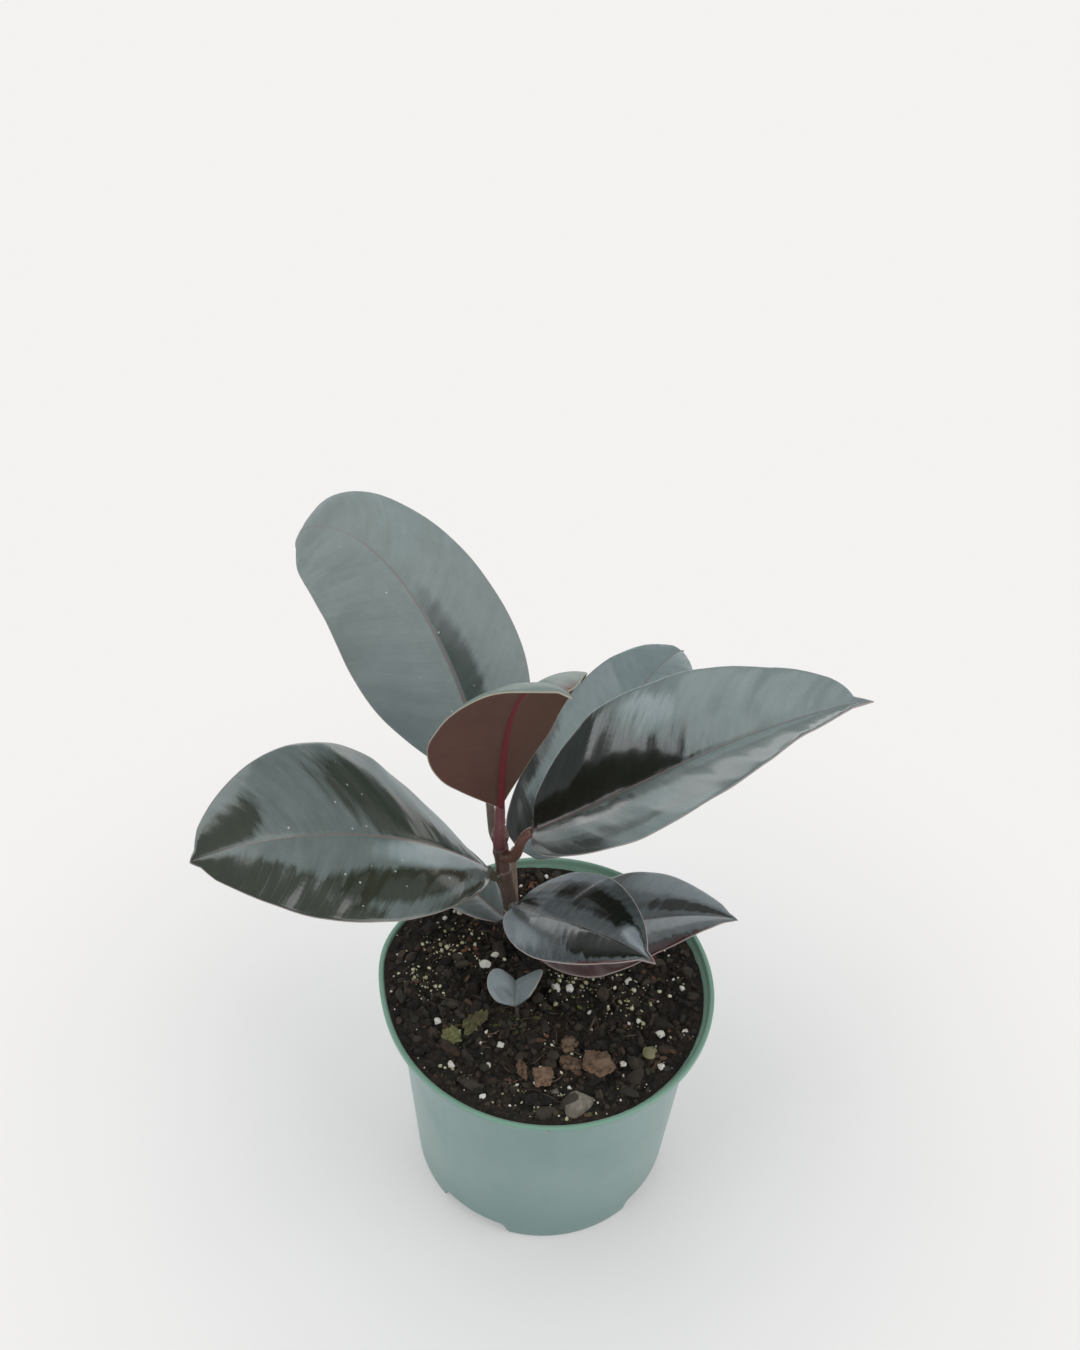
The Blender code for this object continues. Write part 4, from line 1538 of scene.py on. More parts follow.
PEAT = GrainFinish(
    "peat", (0.003, 0.0028, 0.002), (0.028, 0.022, 0.016), (0.055, 0.03, 0.018), 0.3, 380.0, 0.6
)
CRUMB = GrainFinish(
    "peat_crumbs", (0.003, 0.0028, 0.002), (0.05, 0.04, 0.028), (0.09, 0.055, 0.034), 0.35, 700.0, 0.3
)
CLOD = GrainFinish(
    "peat_clods", (0.004, 0.0038, 0.003), (0.055, 0.047, 0.036), (0.12, 0.065, 0.042), 0.4, 420.0, 0.6
)
CHIP = GrainFinish(
    "bark_chips", (0.03, 0.019, 0.012), (0.24, 0.15, 0.095), (0.32, 0.225, 0.15), 0.4, 420.0, 0.5, 0.9, True
)
GRIT = GrainFinish("perlite", (0.6, 0.57, 0.47), (0.88, 0.87, 0.83), (0.5, 0.46, 0.25), 0.2, 900.0, 0.2, 0.85)
CREAM = GrainFinish(
    "cream_specks", (0.32, 0.31, 0.15), (0.85, 0.83, 0.62), (0.34, 0.33, 0.1), 0.35, 900.0, 0.1, 0.85
)
ROCK = GrainFinish(
    "grey_stone", (0.1, 0.09, 0.07), (0.27, 0.24, 0.195), (0.1, 0.085, 0.065), 0.6, 200.0, 0.3, 0.8
)
OLIVE = GrainFinish(
    "olive_pebble", (0.17, 0.16, 0.075), (0.27, 0.26, 0.14), (0.1, 0.09, 0.05), 0.3, 500.0, 0.1, 0.7
)
SLIVER = GrainFinish(
    "bark_slivers", (0.025, 0.016, 0.011), (0.13, 0.075, 0.05), (0.16, 0.1, 0.07), 0.4, 600.0, 0.3, 0.9, True
)
SCRAP = GrainFinish(
    "leaf_scraps", (0.045, 0.038, 0.016), (0.21, 0.22, 0.09), (0.08, 0.055, 0.03), 0.6, 330.0, 0.4, 0.8, True
)
MOSS = GrainFinish(
    "moss_tufts", (0.02, 0.024, 0.008), (0.12, 0.14, 0.04), (0.05, 0.035, 0.015), 0.4, 800.0, 0.3
)
RUST = GrainFinish(
    "rust_crumbs", (0.035, 0.018, 0.01), (0.2, 0.095, 0.055), (0.1, 0.06, 0.03), 0.3, 700.0, 0.3
)
FIBRE = GrainFinish(
    "root_fibres", (0.05, 0.035, 0.025), (0.17, 0.12, 0.085), (0.04, 0.03, 0.02), 0.3, 700.0, 0.05, 0.8
)


@dataclass
class PottingMix:
    """The mix: a closed body inside the pot with an uneven, crumbly top, and loose grains on it.

    mound and hollow each have a middle and a reach. rises_mm is how far the mound, the hollow, the rim
    and the rear lie above the plain slope. lumps holds the number in a metre and the height in
    millimetres of broad lumps, fine lumps and ridges, which calm down towards the wall.
    """

    pot: Pot
    height: float = 115.5 * MM
    slope: float = 0.03
    cells: int = 250
    gap: float = 0.25 * MM
    brim: float = 1.0 * MM
    mound: tuple[Pair, Pair] = ((-42 * MM, 42 * MM), (22 * MM, 22 * MM))
    hollow: tuple[Pair, Pair] = ((12 * MM, -12 * MM), (20 * MM, 14 * MM))
    rim_band: Pair = (54 * MM, 70 * MM)
    rear_band: Pair = (20 * MM, 60 * MM)
    rises_mm: tuple[float, ...] = (1.2, -1.5, 3.2, -2.2)
    lumps: tuple[Pair, Pair, Pair] = ((75.0, 1.3), (210.0, 1.2), (420.0, 0.8))
    calm: float = 0.75
    calm_band: Pair = (66 * MM, 71 * MM)
    seed: int = 11

    def rim_radius(self, x: Array, y: Array) -> Array:
        """Finds where the top meets the pot's inside.

        Args:
            x: Each place's x.
            y: Its y.

        Returns:
            The radius there, in the direction of each place.
        """
        pot = self.pot
        neck = pot.neck_radius - pot.wall
        lip_foot = pot.height - pot.lip_depth
        flare_rise = lip_foot - pot.neck_height
        flare_run = pot.lip_radius - pot.lip_width - pot.lip_lean - neck
        far = np.maximum(np.hypot(x, y), 1e-6)
        radius = np.full_like(far, neck)
        for _ in range(4):
            rise = self.plain_top(x / far * radius) + self.swell(x / far * radius, y / far * radius)
            flare = np.clip((rise - pot.neck_height) / flare_rise, 0, 1) * flare_run
            radius = neck + flare + np.clip((rise - lip_foot) / pot.lip_depth, 0, 1) * pot.lip_lean
            radius += pot.bent_out(x, y, rise)
        return radius - self.gap

    def plain_top(self, x: Array) -> Array:
        """Height of the sloping top without its unevenness."""
        return self.height - self.slope * x

    def swell(self, x: Array, y: Array) -> Array:
        """Finds how far the top's broad shape lies above the plain slope.

        Args:
            x: Each place's x.
            y: Its y.

        Returns:
            The rise: up at the mound and along the rim, down in the hollow and towards the rear.
        """
        rim = smooth_rise(np.hypot(x, y), *self.rim_band)
        mound, hollow = (
            np.exp(-(((x - middle[0]) / reach[0]) ** 2 + ((y - middle[1]) / reach[1]) ** 2))
            for middle, reach in (self.mound, self.hollow)
        )
        rear = smooth_rise(y, *self.rear_band)
        rise = sum(size * part for size, part in zip(self.rises_mm, (mound, hollow, rim, rear))) * MM
        return np.minimum(rise, self.pot.height - self.brim - self.plain_top(x))

    def surface(self, x: Array, y: Array) -> Array:
        """Finds the uneven top.

        Args:
            x: Each place's x.
            y: Its y.

        Returns:
            The top's height there.
        """
        flat = rows_of(x, y, np.zeros_like(x))
        (broad, broad_mm), (fine, fine_mm), (ridge, ridge_mm) = self.lumps
        lumps = cloud(flat, broad, 2) * broad_mm + cloud(flat + 0.3, fine, 3) * fine_mm
        ridges = np.abs(cloud(flat + 0.7, ridge, 2)) * ridge_mm
        calm = 1 - self.calm * smooth_rise(np.hypot(x, y), *self.calm_band)
        return self.plain_top(x) + self.swell(x, y) + (lumps - ridges) * calm * MM

    def body(self) -> Piece:
        """Models the closed body of the mix.

        Returns:
            The body.
        """
        piece, row, column = Bench.skin_sheet("potting_mix_body", self.cells, self.cells)
        border = (row % (self.cells - 1) == 0) | (column % (self.cells - 1) == 0)
        stretch = (self.cells - 1) / (self.cells - 3)
        square = np.clip(Bench.points(piece)[:, :2] * stretch, -1, 1)
        u, v = square[:, 0], square[:, 1]
        x = u * np.sqrt(1 - v * v / 2)
        y = v * np.sqrt(1 - u * u / 2)
        radius = self.rim_radius(x, y)
        x, y = x * radius, y * radius
        z = self.surface(x, y)
        waist = self.pot.neck_radius - self.pot.wall - 0.5 * MM
        far = np.hypot(x, y)
        x = np.where(border, x / far * waist, x)
        y = np.where(border, y / far * waist, y)
        z = np.where(border, np.minimum(z, self.pot.neck_height) - 1.5 * MM, z)
        Bench.move(piece, rows_of(x, y, z))
        Bench.mark(piece, "tone", np.clip(0.5 + cloud(rows_of(x, y, x * 0), 260.0, 3) * 0.5, 0, 1))
        Bench.take(piece)
        bpy.ops.object.mode_set(mode="EDIT")
        bpy.ops.mesh.select_all(action="SELECT")
        bpy.ops.mesh.region_to_loop()
        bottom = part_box("potting_mix")[0].z
        share = (self.pot.wall_radius(bottom) - self.pot.wall - 2 * MM) / waist
        drop = (0, 0, bottom - self.pot.neck_height)
        bpy.ops.mesh.extrude_edges_move(TRANSFORM_OT_translate={"value": drop})
        bpy.ops.transform.resize(value=(share, share, 0), center_override=(0, 0, bottom))
        bpy.ops.mesh.edge_face_add()
        bpy.ops.object.mode_set(mode="OBJECT")
        Bench.weld(piece)
        Bench.smooth(piece, 50)
        return piece

    def build(self) -> None:
        """Models the mix and its loose grains, and puts them in place."""
        Bench.hand_over(self.body(), Slot.MIX, PEAT.build(), "potting_mix")
        draw = np.random.default_rng(self.seed)
        for grains in (*LOOSE_GRAINS, RootFibres()):
            grains.scatter(self, draw)


def lumpy_ball(name: str, subdivisions: int, rough: float, seed: float, facets: float) -> Piece:
    """A ball of diameter 1 with an uneven surface.

    Args:
        name: The piece's name.
        subdivisions: How fine it is.
        rough: How uneven, as a share of its radius.
        seed: Picks the unevenness.
        facets: Above 0, cuts flat breaks into it.

    Returns:
        The piece.
    """
    Bench.clear()
    bpy.ops.mesh.primitive_ico_sphere_add(subdivisions=subdivisions, radius=0.5)
    piece = Bench.added(name)
    points = Bench.points(piece)
    shift = Vector((seed * 7.3, seed, 0))
    bumps = np.array([noise.fractal(Vector(p) * 2.2 + shift, 0.9, 2.0, 3) for p in points])
    points *= 1 + rough * bumps[:, None]
    if facets > 0:
        draw = np.random.default_rng(int(seed * 97) + 5)
        for normal in draw.normal(size=(9, 3)):
            normal /= np.linalg.norm(normal)
            over = points @ normal - 0.5 * (1 - facets * draw.uniform(0.3, 1.0))
            points -= np.clip(over, 0, None)[:, None] * normal * 0.93
    Bench.move(piece, points)
    return piece


@dataclass
class LooseGrains:
    """Many small grains of one kind, lying on the mix as one piece.

    size_mm is the least and the greatest length, shape the share of it each way, vary how much that
    varies, and sunk how deep a grain sits in the mix. heaps are places in millimetres, each with its
    reach, where heap_share of the grains lie. clump above -1 keeps the others to some parts of the mix.
    """

    name: str
    slot: Slot
    finish: GrainFinish
    count: int
    size_mm: Pair
    shape: Triple
    subdivisions: int
    sunk: float
    heaps: tuple[Triple, ...] = ()
    clump: float = -1.0
    kinds: int = 7
    heap_share: float = 0.75
    fineness: float = 2.2
    tilt: float = 0.35
    vary: Pair = (0.75, 1.25)

    def spot(self, mix: PottingMix, draw: np.random.Generator, size: float) -> Pair:
        """Picks a place for a grain: mostly on one of its kind's heaps, or else where such grains gather.

        Args:
            mix: The potting mix.
            draw: The source of chance.
            size: The grain's length.

        Returns:
            The place's x and y.
        """
        if self.heaps and draw.uniform(0, 1) < self.heap_share:
            middle_x, middle_y, reach = self.heaps[draw.integers(len(self.heaps))]
            return (middle_x + draw.normal(0, reach)) * MM, (middle_y + draw.normal(0, reach)) * MM
        for _ in range(40):
            share, angle = math.sqrt(draw.uniform(0, 1)), draw.uniform(0, math.tau)
            limit = float(mix.rim_radius(np.array(math.cos(angle)), np.array(math.sin(angle)))) - size * 0.5
            x, y = share * limit * math.cos(angle), share * limit * math.sin(angle)
            if noise.noise(Vector((x, y, 0.02)) * 75) > self.clump:
                break
        return x, y

    def scatter(self, mix: PottingMix, draw: np.random.Generator) -> None:
        """Models a few grains, copies them over the mix and joins them.

        Args:
            mix: The potting mix.
            draw: The source of chance.
        """
        shapes = []
        for kind in range(self.kinds):
            model = lumpy_ball("model_grain", self.subdivisions, 0.45, kind + self.count * 0.01, 0.3)
            faces = np.array([tuple(face.vertices) for face in model.data.polygons])
            shapes.append((Bench.points(model), faces))
            bpy.data.objects.remove(model)
        points, faces, tones = [], [], []
        total = 0
        low, high = self.size_mm
        for index in range(self.count):
            size = low * (high / low) ** (draw.uniform(0, 1) ** self.fineness) * MM
            x, y = self.spot(mix, draw, size)
            turn = Matrix.Rotation(draw.uniform(0, math.tau), 3, "Z")
            turn = turn @ Matrix.Rotation(draw.normal(0, self.tilt), 3, "X")
            turn = turn @ Matrix.Rotation(draw.normal(0, self.tilt), 3, "Y")
            stretch = np.array(self.shape) * draw.uniform(*self.vary, 3)
            base, base_faces = shapes[index % self.kinds]
            grain = (base * stretch * size) @ np.array(turn).T
            points.append(grain + np.array((x, y, size * self.shape[2] * (0.5 - self.sunk))))
            faces.append(base_faces + total)
            tones.append(np.full(len(base), draw.uniform(0, 1)))
            total += len(base)
        cloud_points = np.concatenate(points)
        centres = np.array([group[:, :2].mean(0) for group in points])
        rise = mix.surface(centres[:, 0], centres[:, 1])
        cloud_points[:, 2] += np.repeat(rise, [len(group) for group in points])
        piece = Bench.from_faces(self.name, cloud_points, np.concatenate(faces).tolist())
        Bench.mark(piece, "tone", np.concatenate(tones))
        Bench.smooth(piece, 35)
        Bench.hand_over(piece, self.slot, self.finish.build())


LOOSE_GRAINS = (
    LooseGrains("peat_crumbs", Slot.MIX, CRUMB, 3200, (1.0, 4.5), (1.0, 0.8, 0.7), 1, 0.4),
    LooseGrains("peat_clods", Slot.MIX, CLOD, 360, (3.5, 10.5), (1.0, 0.72, 0.55), 2, 0.45),
    LooseGrains("bark_slivers", Slot.BARK, SLIVER, 170, (2.2, 7.5), (1.0, 0.45, 0.3), 1, 0.3),
    LooseGrains("cream_specks", Slot.PERLITE, CREAM, 430, (0.8, 2.8), (1.0, 0.8, 0.7), 1, 0.05,
        ((-54, 14, 6), (-60, -2, 5), (-44, 20, 6), (5, 0, 5), (39, -4, 6), (30, 4, 7), (3, -57, 7)),
        0.1),
    LooseGrains("perlite_grains", Slot.PERLITE, GRIT, 150, (0.7, 2.8), (1.0, 0.85, 0.8), 2, 0.2),
    LooseGrains("moss_tufts", Slot.LITTER, MOSS, 150, (1.2, 4.0), (1.0, 0.7, 0.5), 1, 0.25,
        ((-15, -21, 5), (-34, -20, 5), (-43, -33, 4), (8, -2, 6)), 0.3),
    LooseGrains("rust_crumbs", Slot.BARK, RUST, 150, (1.2, 4.5), (1.0, 0.7, 0.5), 1, 0.3,
        ((-39, 25, 6), (-13, 66, 4), (-12, 58, 5), (48, 22, 6)), 0.2),
)


@dataclass
class RootFibres:
    """Thin curved rootlets and bark fibres lying on the mix as one piece."""

    count: int = 70
    sides: int = 5
    joints: int = 7
    length_mm: Pair = (4, 15)
    thick_mm: Pair = (0.12, 0.4)
    arch_mm: float = 1.5
    wander: float = 0.3
    wall_gap: float = 9 * MM
    finish: GrainFinish = FIBRE

    def scatter(self, mix: PottingMix, draw: np.random.Generator) -> None:
        """Sweeps a thin round section along each fibre and joins them.

        Args:
            mix: The potting mix.
            draw: The source of chance.
        """
        points, faces = [], []
        ring = np.linspace(0, math.tau, self.sides, endpoint=False)
        wall = mix.pot.neck_radius - mix.pot.wall
        limit = wall - self.wall_gap
        for _ in range(self.count):
            radius = limit * math.sqrt(draw.uniform(0, 1))
            angle = draw.uniform(0, math.tau)
            length = draw.uniform(*self.length_mm) * MM
            thick = draw.uniform(*self.thick_mm) * MM
            heading = draw.uniform(0, math.tau) + np.cumsum(draw.normal(0, self.wander, self.joints))
            x = radius * math.cos(angle) + np.cumsum(np.cos(heading)) * length / self.joints
            y = radius * math.sin(angle) + np.cumsum(np.sin(heading)) * length / self.joints
            if np.hypot(x, y).max() >= wall - MM:
                continue
            arch = np.sin(np.linspace(0, math.pi, self.joints)) * draw.uniform(0, self.arch_mm) * MM
            z = mix.surface(x, y).mean() + arch
            first = sum(len(group) for group in points)
            taper = np.sin(np.linspace(0.25, math.pi - 0.1, self.joints))
            for step in range(self.joints):
                side = np.array((-math.sin(heading[step]), math.cos(heading[step]), 0))
                circle = np.outer(np.cos(ring), side) + np.outer(np.sin(ring), (0, 0, 1))
                middle = np.array((x[step], y[step], z[step] + thick))
                points.append(middle + circle * thick * taper[step])
            for step in range(self.joints - 1):
                low = first + step * self.sides
                for corner in range(self.sides):
                    after = (corner + 1) % self.sides
                    high = low + self.sides
                    faces.append((low + corner, low + after, high + after, high + corner))
            faces.append(tuple(first + corner for corner in reversed(range(self.sides))))
            last = first + (self.joints - 1) * self.sides
            faces.append(tuple(last + corner for corner in range(self.sides)))
        whole = np.concatenate(points)
        piece = Bench.from_faces("root_fibres", whole, faces)
        Bench.mark(piece, "tone", np.clip(0.5 + cloud(whole, 90.0, 1), 0, 1))
        Bench.weld(piece)
        Bench.smooth(piece, 60)
        Bench.hand_over(piece, Slot.MIX, self.finish.build())


class BitKind(Enum):
    """Larger loose bits: start of the nodes' names, slot, finish, unevenness, flat breaks, rag depth."""

    BARK = ("bark_chip", Slot.BARK, CHIP, 0.6, 0.25, 0.4 * MM)
    STONE = (("stone_grey", "pebble_grey"), Slot.STONE, ROCK, 0.15, 0.5, 0.15 * MM)
    PEBBLE = ("pebble_olive", Slot.PEBBLE, OLIVE, 0.15, 0.0, 0.1 * MM)
    LITTER = ("leaf_litter", Slot.LITTER, SCRAP, 0.9, 0.1, 0.9 * MM)
    PERLITE = ("perlite", Slot.PERLITE, GRIT, 0.5, 0.3, 0.15 * MM)


# how far a long bit's ragged ends reach past its construction solid
BIT_SPREAD = 1.15

# length and width of the long bits in millimetres, and their turn on the mix in degrees
BIT_PLANS = {
    "bark_chip_1": (15, 10, 12),
    "bark_chip_2": (11, 7, -8),
    "bark_chip_3": (9.5, 9, 25),
    "bark_chip_4": (5, 9.5, 10),
    "bark_chip_5": (8, 7, 80),
    "stone_grey": (13, 10, 30),
    "leaf_litter_1": (6, 16, -30),
    "leaf_litter_2": (8, 9, 10),
}


@dataclass
class LooseBit:
    """One larger bit on the mix, filling the box of its construction solid."""

    node: str
    kind: BitKind
    seed: int
    mix: PottingMix
    lift: Pair = (-0.5 * MM, 1.8 * MM)
    sunk: float = 0.6 * MM

    def build(self) -> None:
        """Models the bit, dresses it and puts it in place, sunk a little into the mix's uneven top."""
        _, slot, finish, rough, facets, ragged = self.kind.value
        piece = lumpy_ball(self.node + "_rough", 4, rough, self.seed * 0.37, facets)
        length, width, turn = BIT_PLANS.get(self.node, (1.0, 1.0, 0.0))
        plan = np.array(Matrix.Rotation(math.radians(turn), 3, "Z"))
        points = Bench.points(piece) * (length, width, 1.0) @ plan.T
        low, high = (np.array(corner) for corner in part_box(self.node))
        span = np.ptp(points, axis=0)
        points = (points - points.min(0)) / span * (high - low) + low
        if self.node in BIT_PLANS:
            points[:, :2] += (points[:, :2] - (high + low)[:2] / 2) * (BIT_SPREAD - 1)
        fine = np.array([noise.fractal(Vector(p) * 700, 0.8, 2.0, 3) for p in points])
        middle = (high + low) / 2
        outwards = points - middle
        outwards /= np.linalg.norm(outwards, axis=1)[:, None] + 1e-9
        points += outwards * (1.0, 1.0, 0.5) * fine[:, None] * ragged
        rise = float(self.mix.surface(middle[:1], middle[1:2])[0] - self.mix.plain_top(middle[0]))
        points[:, 2] += np.clip(rise, *self.lift) - self.sunk
        Bench.move(piece, points)
        Bench.mark(piece, "tone", np.clip(0.25 + 0.5 * ((self.seed * 0.618) % 1) + fine * 0.5, 0, 1))
        Bench.smooth(piece, 40)
        Bench.hand_over(piece, slot, finish.build(), self.node)


# ---- The whole plant ----

# Each skin's patches paint the sheen seen on its leaf, and with a gain below 0 its dark reflections and
# shade.
DUST_AND_SHEEN = LeafSkin(
    "leaf_dust_and_sheen",
    bloom_and_sheen=(0.215, 0.26, 0.252),
    haze=0.9,
    vein_share=0.06,
    uneven=0.6,
    patches=(
        # painted dark reflection beside the lower midrib
        Patch(0.24, -0.12, (0.28, 0.2), -0.6),
        Patch(0.2, 0.6, (0.35, 0.7), 0.25),
        Patch(0.9, 0.0, (0.2, 0.9), -0.12),
    ),
    ragged=0.6,
    specks=1.0,
    roughness=0.34,
    coat=0.15,
    stalk=(0.16, 0.12, 0.1),
    stalk_light=(0.3, 0.24, 0.2),
)
YOUNG = LeafSkin(
    "leaf_young",
    upper=(0.11, 0.15, 0.115),
    upper_light=(0.15, 0.195, 0.155),
    haze=0.4,
    under=(0.135, 0.078, 0.052),
    under_dark=(0.095, 0.033, 0.026),
    flush=(Patch(0.98, 0.6, (0.07, 0.6), 0.85, soft=0.6),),
    flush_colour=(0.11, 0.035, 0.03),
    roughness=0.36,
    vein=(0.15, 0.065, 0.045),
    rib_under=(0.17, 0.012, 0.022),
    stalk=(0.16, 0.04, 0.045),
    stalk_light=(0.26, 0.11, 0.115),
    margin=(0.45, 0.4, 0.3),
    coat=0.08,
)
RIGHT_LARGE = LeafSkin(
    "leaf_right_large",
    haze=0.5,
    uneven=0.7,
    patches=(
        # painted dark reflection near the base
        Patch(0.06, 0.5, (0.34, 1.05), -1.3, -0.28),
        Patch(0.4, 0.65, (0.1, 0.24), 0.6),
        Patch(0.78, 0.4, (0.4, 0.9), 0.3),
        Patch(0.2, -0.25, (0.12, 0.15), -0.4),
        Patch(0.13, -0.5, (0.11, 0.12), 0.5),
        Patch(0.38, -0.5, (0.1, 0.2), 0.5),
        Patch(0.17, -0.9, (0.1, 0.17), -0.25),
        Patch(0.4, -0.92, (0.16, 0.14), 0.5),
        Patch(0.72, -0.12, (0.28, 0.16), 0.35),
    ),
    stalk=(0.13, 0.05, 0.035),
    stalk_light=(0.22, 0.11, 0.08),
)
REAR_RIGHT = LeafSkin(
    "leaf_rear_right",
    bloom_and_sheen=(0.2, 0.26, 0.262),
    haze=0.7,
    uneven=0.6,
    roughness=0.24,
    coat=0.45,
    patches=(
        Patch(0.26, 0.93, (0.22, 0.22), -0.8),
        Patch(0.06, 0.6, (0.12, 0.6), -0.8),
    ),
    stalk=(0.16, 0.11, 0.07),
    stalk_light=(0.34, 0.25, 0.2),
)
LEFT_LARGE = LeafSkin(
    "leaf_left_large",
    upper=(0.018, 0.024, 0.016),
    upper_light=(0.034, 0.044, 0.026),
    haze=0.47,
    ragged=0.7,
    patches=(
        Patch(0.42, 0.6, (0.24, 0.2), -0.55),
        Patch(0.17, 0.2, (0.3, 0.22), 0.9),
        Patch(0.12, 0.95, (0.2, 0.14), -0.5),
        Patch(0.38, -0.3, (0.17, 0.5), -0.6, -0.28),
        Patch(0.18, -0.75, (0.26, 0.35), 0.75, -0.1),
        Patch(0.9, 0.62, (0.24, 0.75), -0.8, -0.45),
        Patch(0.97, -0.28, (0.15, 0.42), -0.95, 0.1),
    ),
    specks=0.8,
    stalk=(0.06, 0.05, 0.035),
    stalk_light=(0.13, 0.12, 0.08),
)
FRONT_SMALL = LeafSkin(
    "leaf_front_small",
    bloom_and_sheen=(0.2, 0.24, 0.26),
    haze=0.34,
    patches=(
        Patch(0.6, 0.5, (0.36, 0.22), -0.45),
        Patch(0.84, 0.36, (0.1, 0.24), 1.2),
        Patch(0.72, -0.3, (0.2, 0.4), -1.1),
        Patch(0.17, -0.72, (0.26, 0.26), 0.75),
        Patch(0.3, 0.9, (0.26, 0.13), 0.7),
        Patch(0.08, 0.22, (0.1, 0.22), -0.4),
        Patch(0.12, -0.08, (0.12, 0.1), 0.6),
        Patch(0.35, 0.42, (0.3, 0.08), 0.25),
    ),
    flush=(Patch(1.02, 0.0, (0.07, 1.1), 0.8), Patch(0.8, -0.97, (0.15, 0.1), 0.8)),
    coat=0.4,
    rib_upper=(0.17, 0.17, 0.16),
    stalk=(0.06, 0.055, 0.05),
    stalk_light=(0.12, 0.12, 0.11),
)
RIGHT_SMALL = LeafSkin(
    "leaf_right_small",
    bloom_and_sheen=(0.22, 0.26, 0.275),
    haze=0.65,
    patches=(
        Patch(0.8, 0.28, (0.25, 0.15), -0.7),
        Patch(0.74, -0.22, (0.2, 0.2), 0.7),
        Patch(0.72, 0.78, (0.28, 0.27), 0.65),
        Patch(0.7, -0.87, (0.14, 0.2), -0.5),
    ),
    flush=(Patch(0.45, -0.97, (0.42, 0.25), 0.9),),
)
REAR_LOW = LeafSkin("leaf_rear_low", haze=0.55)
SEEDLING = LeafSkin(
    "leaf_seedling",
    bloom_and_sheen=(0.29, 0.345, 0.365),
    haze=0.95,
    patches=(
        # the right lobe darkened: painted shade
        Patch(0.5, -0.7, (0.6, 0.6), -0.25),
        Patch(0.3, 0.5, (0.2, 0.3), -0.25),
    ),
    roughness=0.3,
    coat=0.2,
    rib_upper=(0.45, 0.44, 0.34),
    margin=(0.5, 0.46, 0.38),
    stalk=(0.02, 0.016, 0.012),
    stalk_light=(0.05, 0.04, 0.03),
)

LEAVES = (
    (LeafForm("leaf_rear_left_tall", 193, (-32, 30.5, 218), 164, 74, (115, 163, -8), (58, 51, -143),
        (-31, -15), 0, (-22, -19), 0.84, 0.66, 0.24, 0.07, (1.8, 70, 0.3), pucker=0.5), DUST_AND_SHEEN),
    (LeafForm("leaf_young_cupped", 195.5, (-25.5, 17, 217.5), 133, 70, (-74, -62, -9), (90, 60, -48),
        (21, -11), 20, (-25, -22), 1.15, 0.81, 0.74, -0.145, (2.1, 75, 0.35), tip_power=3,
        pucker=0.5), YOUNG),
    (LeafForm("leaf_right_large", 185, (-11, 8.5, 213), 156, 83, (-5, -14, -19), (37, 23, 7),
        (4, -7), 23, (11, 11), 0.81, 0.59, 0.58, 0.03, (2.2, 35, 0.3), (0.051, 6.9)), RIGHT_LARGE),
    (LeafForm("leaf_rear_right", 146, (-19, 35, 171), 150, 68, (41, 52.5, -16), (21, 6, -29.5),
        (-11, 14), 15, (-8, -7), 0.82, 0.48, 0.58, -0.13, (1.9, 65, 0.12), (0.015, 2.0)), REAR_RIGHT),
    (LeafForm("leaf_left_large", 171, (-30, 16, 178), 153.7, 85, (217, 214.5, 6), (55, 4, -3),
        (1, -33), 8, (-9, -10), 1.08, 0.68, 0.66, -0.07, (1.9, 20, 0.35), (0.021, 6.9)), LEFT_LARGE),
    (LeafForm("leaf_front_small", 145, (-17, 7.5, 164.5), 84.5, 49, (-49, -45, -11), (33, 8, -1),
        (11, 13), 21, (4, 3), 0.97, 0.56, 0.75, 0.01, (1.5, 50, 0.35), (0.078, 5.2),
        vein_gap=4.0), FRONT_SMALL),
    (LeafForm("leaf_right_small", 124, (-7.5, 11.5, 133), 101.5, 56, (-9, -25, -10), (33, 24, -9),
        (9, -6), 14, (-2, -3), 0.93, 0.65, 0.89, -0.03, (1.5, 30, 0.35), (0.043, 5.5),
        vein_gap=4.0), RIGHT_SMALL),
    (LeafForm("leaf_rear_low", 129, (-21.5, 24.5, 132.5), 73, 38, (153, 154, -1), (30, 11, 0),
        (10, 11), 14, (-4, -4), 1.02, 0.64, 0.6, 0.0, (1.3, 30, 0.35), (0.05, 3.0),
        vein_gap=3.5), REAR_LOW),
    (LeafForm("leaf_basal_tiny", 0, (-13.9, -16.5, 119.7), 19, 31, (101, 97, 5), (31.5, -44.5, 2.5),
        (-23, 12.5), 44.5, (22, 31), 1.18, 0.56, 0.31, -0.03, (0.9, 90, 0.35), (0.05, 2.0),
        tip_power=3, foot=(-13.4, -18), wave=0.1, pucker=0.4, vein_gap=2.5), SEEDLING),
)


class Plant:
    """The whole potted plant, built from the ground up."""

    def __init__(self) -> None:
        """Takes the sub-assemblies at their real sizes."""
        self.stem_line = StemLine()
        self.pot = Pot()
        self.mix = PottingMix(self.pot)

    def build(self) -> None:
        """Builds every piece in order."""
        self.pot.build()
        self.mix.build()
        joints = tuple(form.joint_height for form, _ in LEAVES if form.foot is None)
        Stem(self.stem_line, joints).build()
        BudSheath(self.stem_line).build()
        for seed, (form, skin) in enumerate(LEAVES, start=1):
            slot = Slot.YOUNG_LEAF if skin is YOUNG else Slot.LEAF
            Leaf(form, skin, self.stem_line, slot, seed=seed).build()
        for seed, node in enumerate(sorted(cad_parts), start=1):
            for kind in BitKind:
                if node.startswith(kind.value[0]):
                    LooseBit(node, kind, seed, self.mix).build()


# ---- Studio ----


COOL = (0.95, 0.99, 1.0)


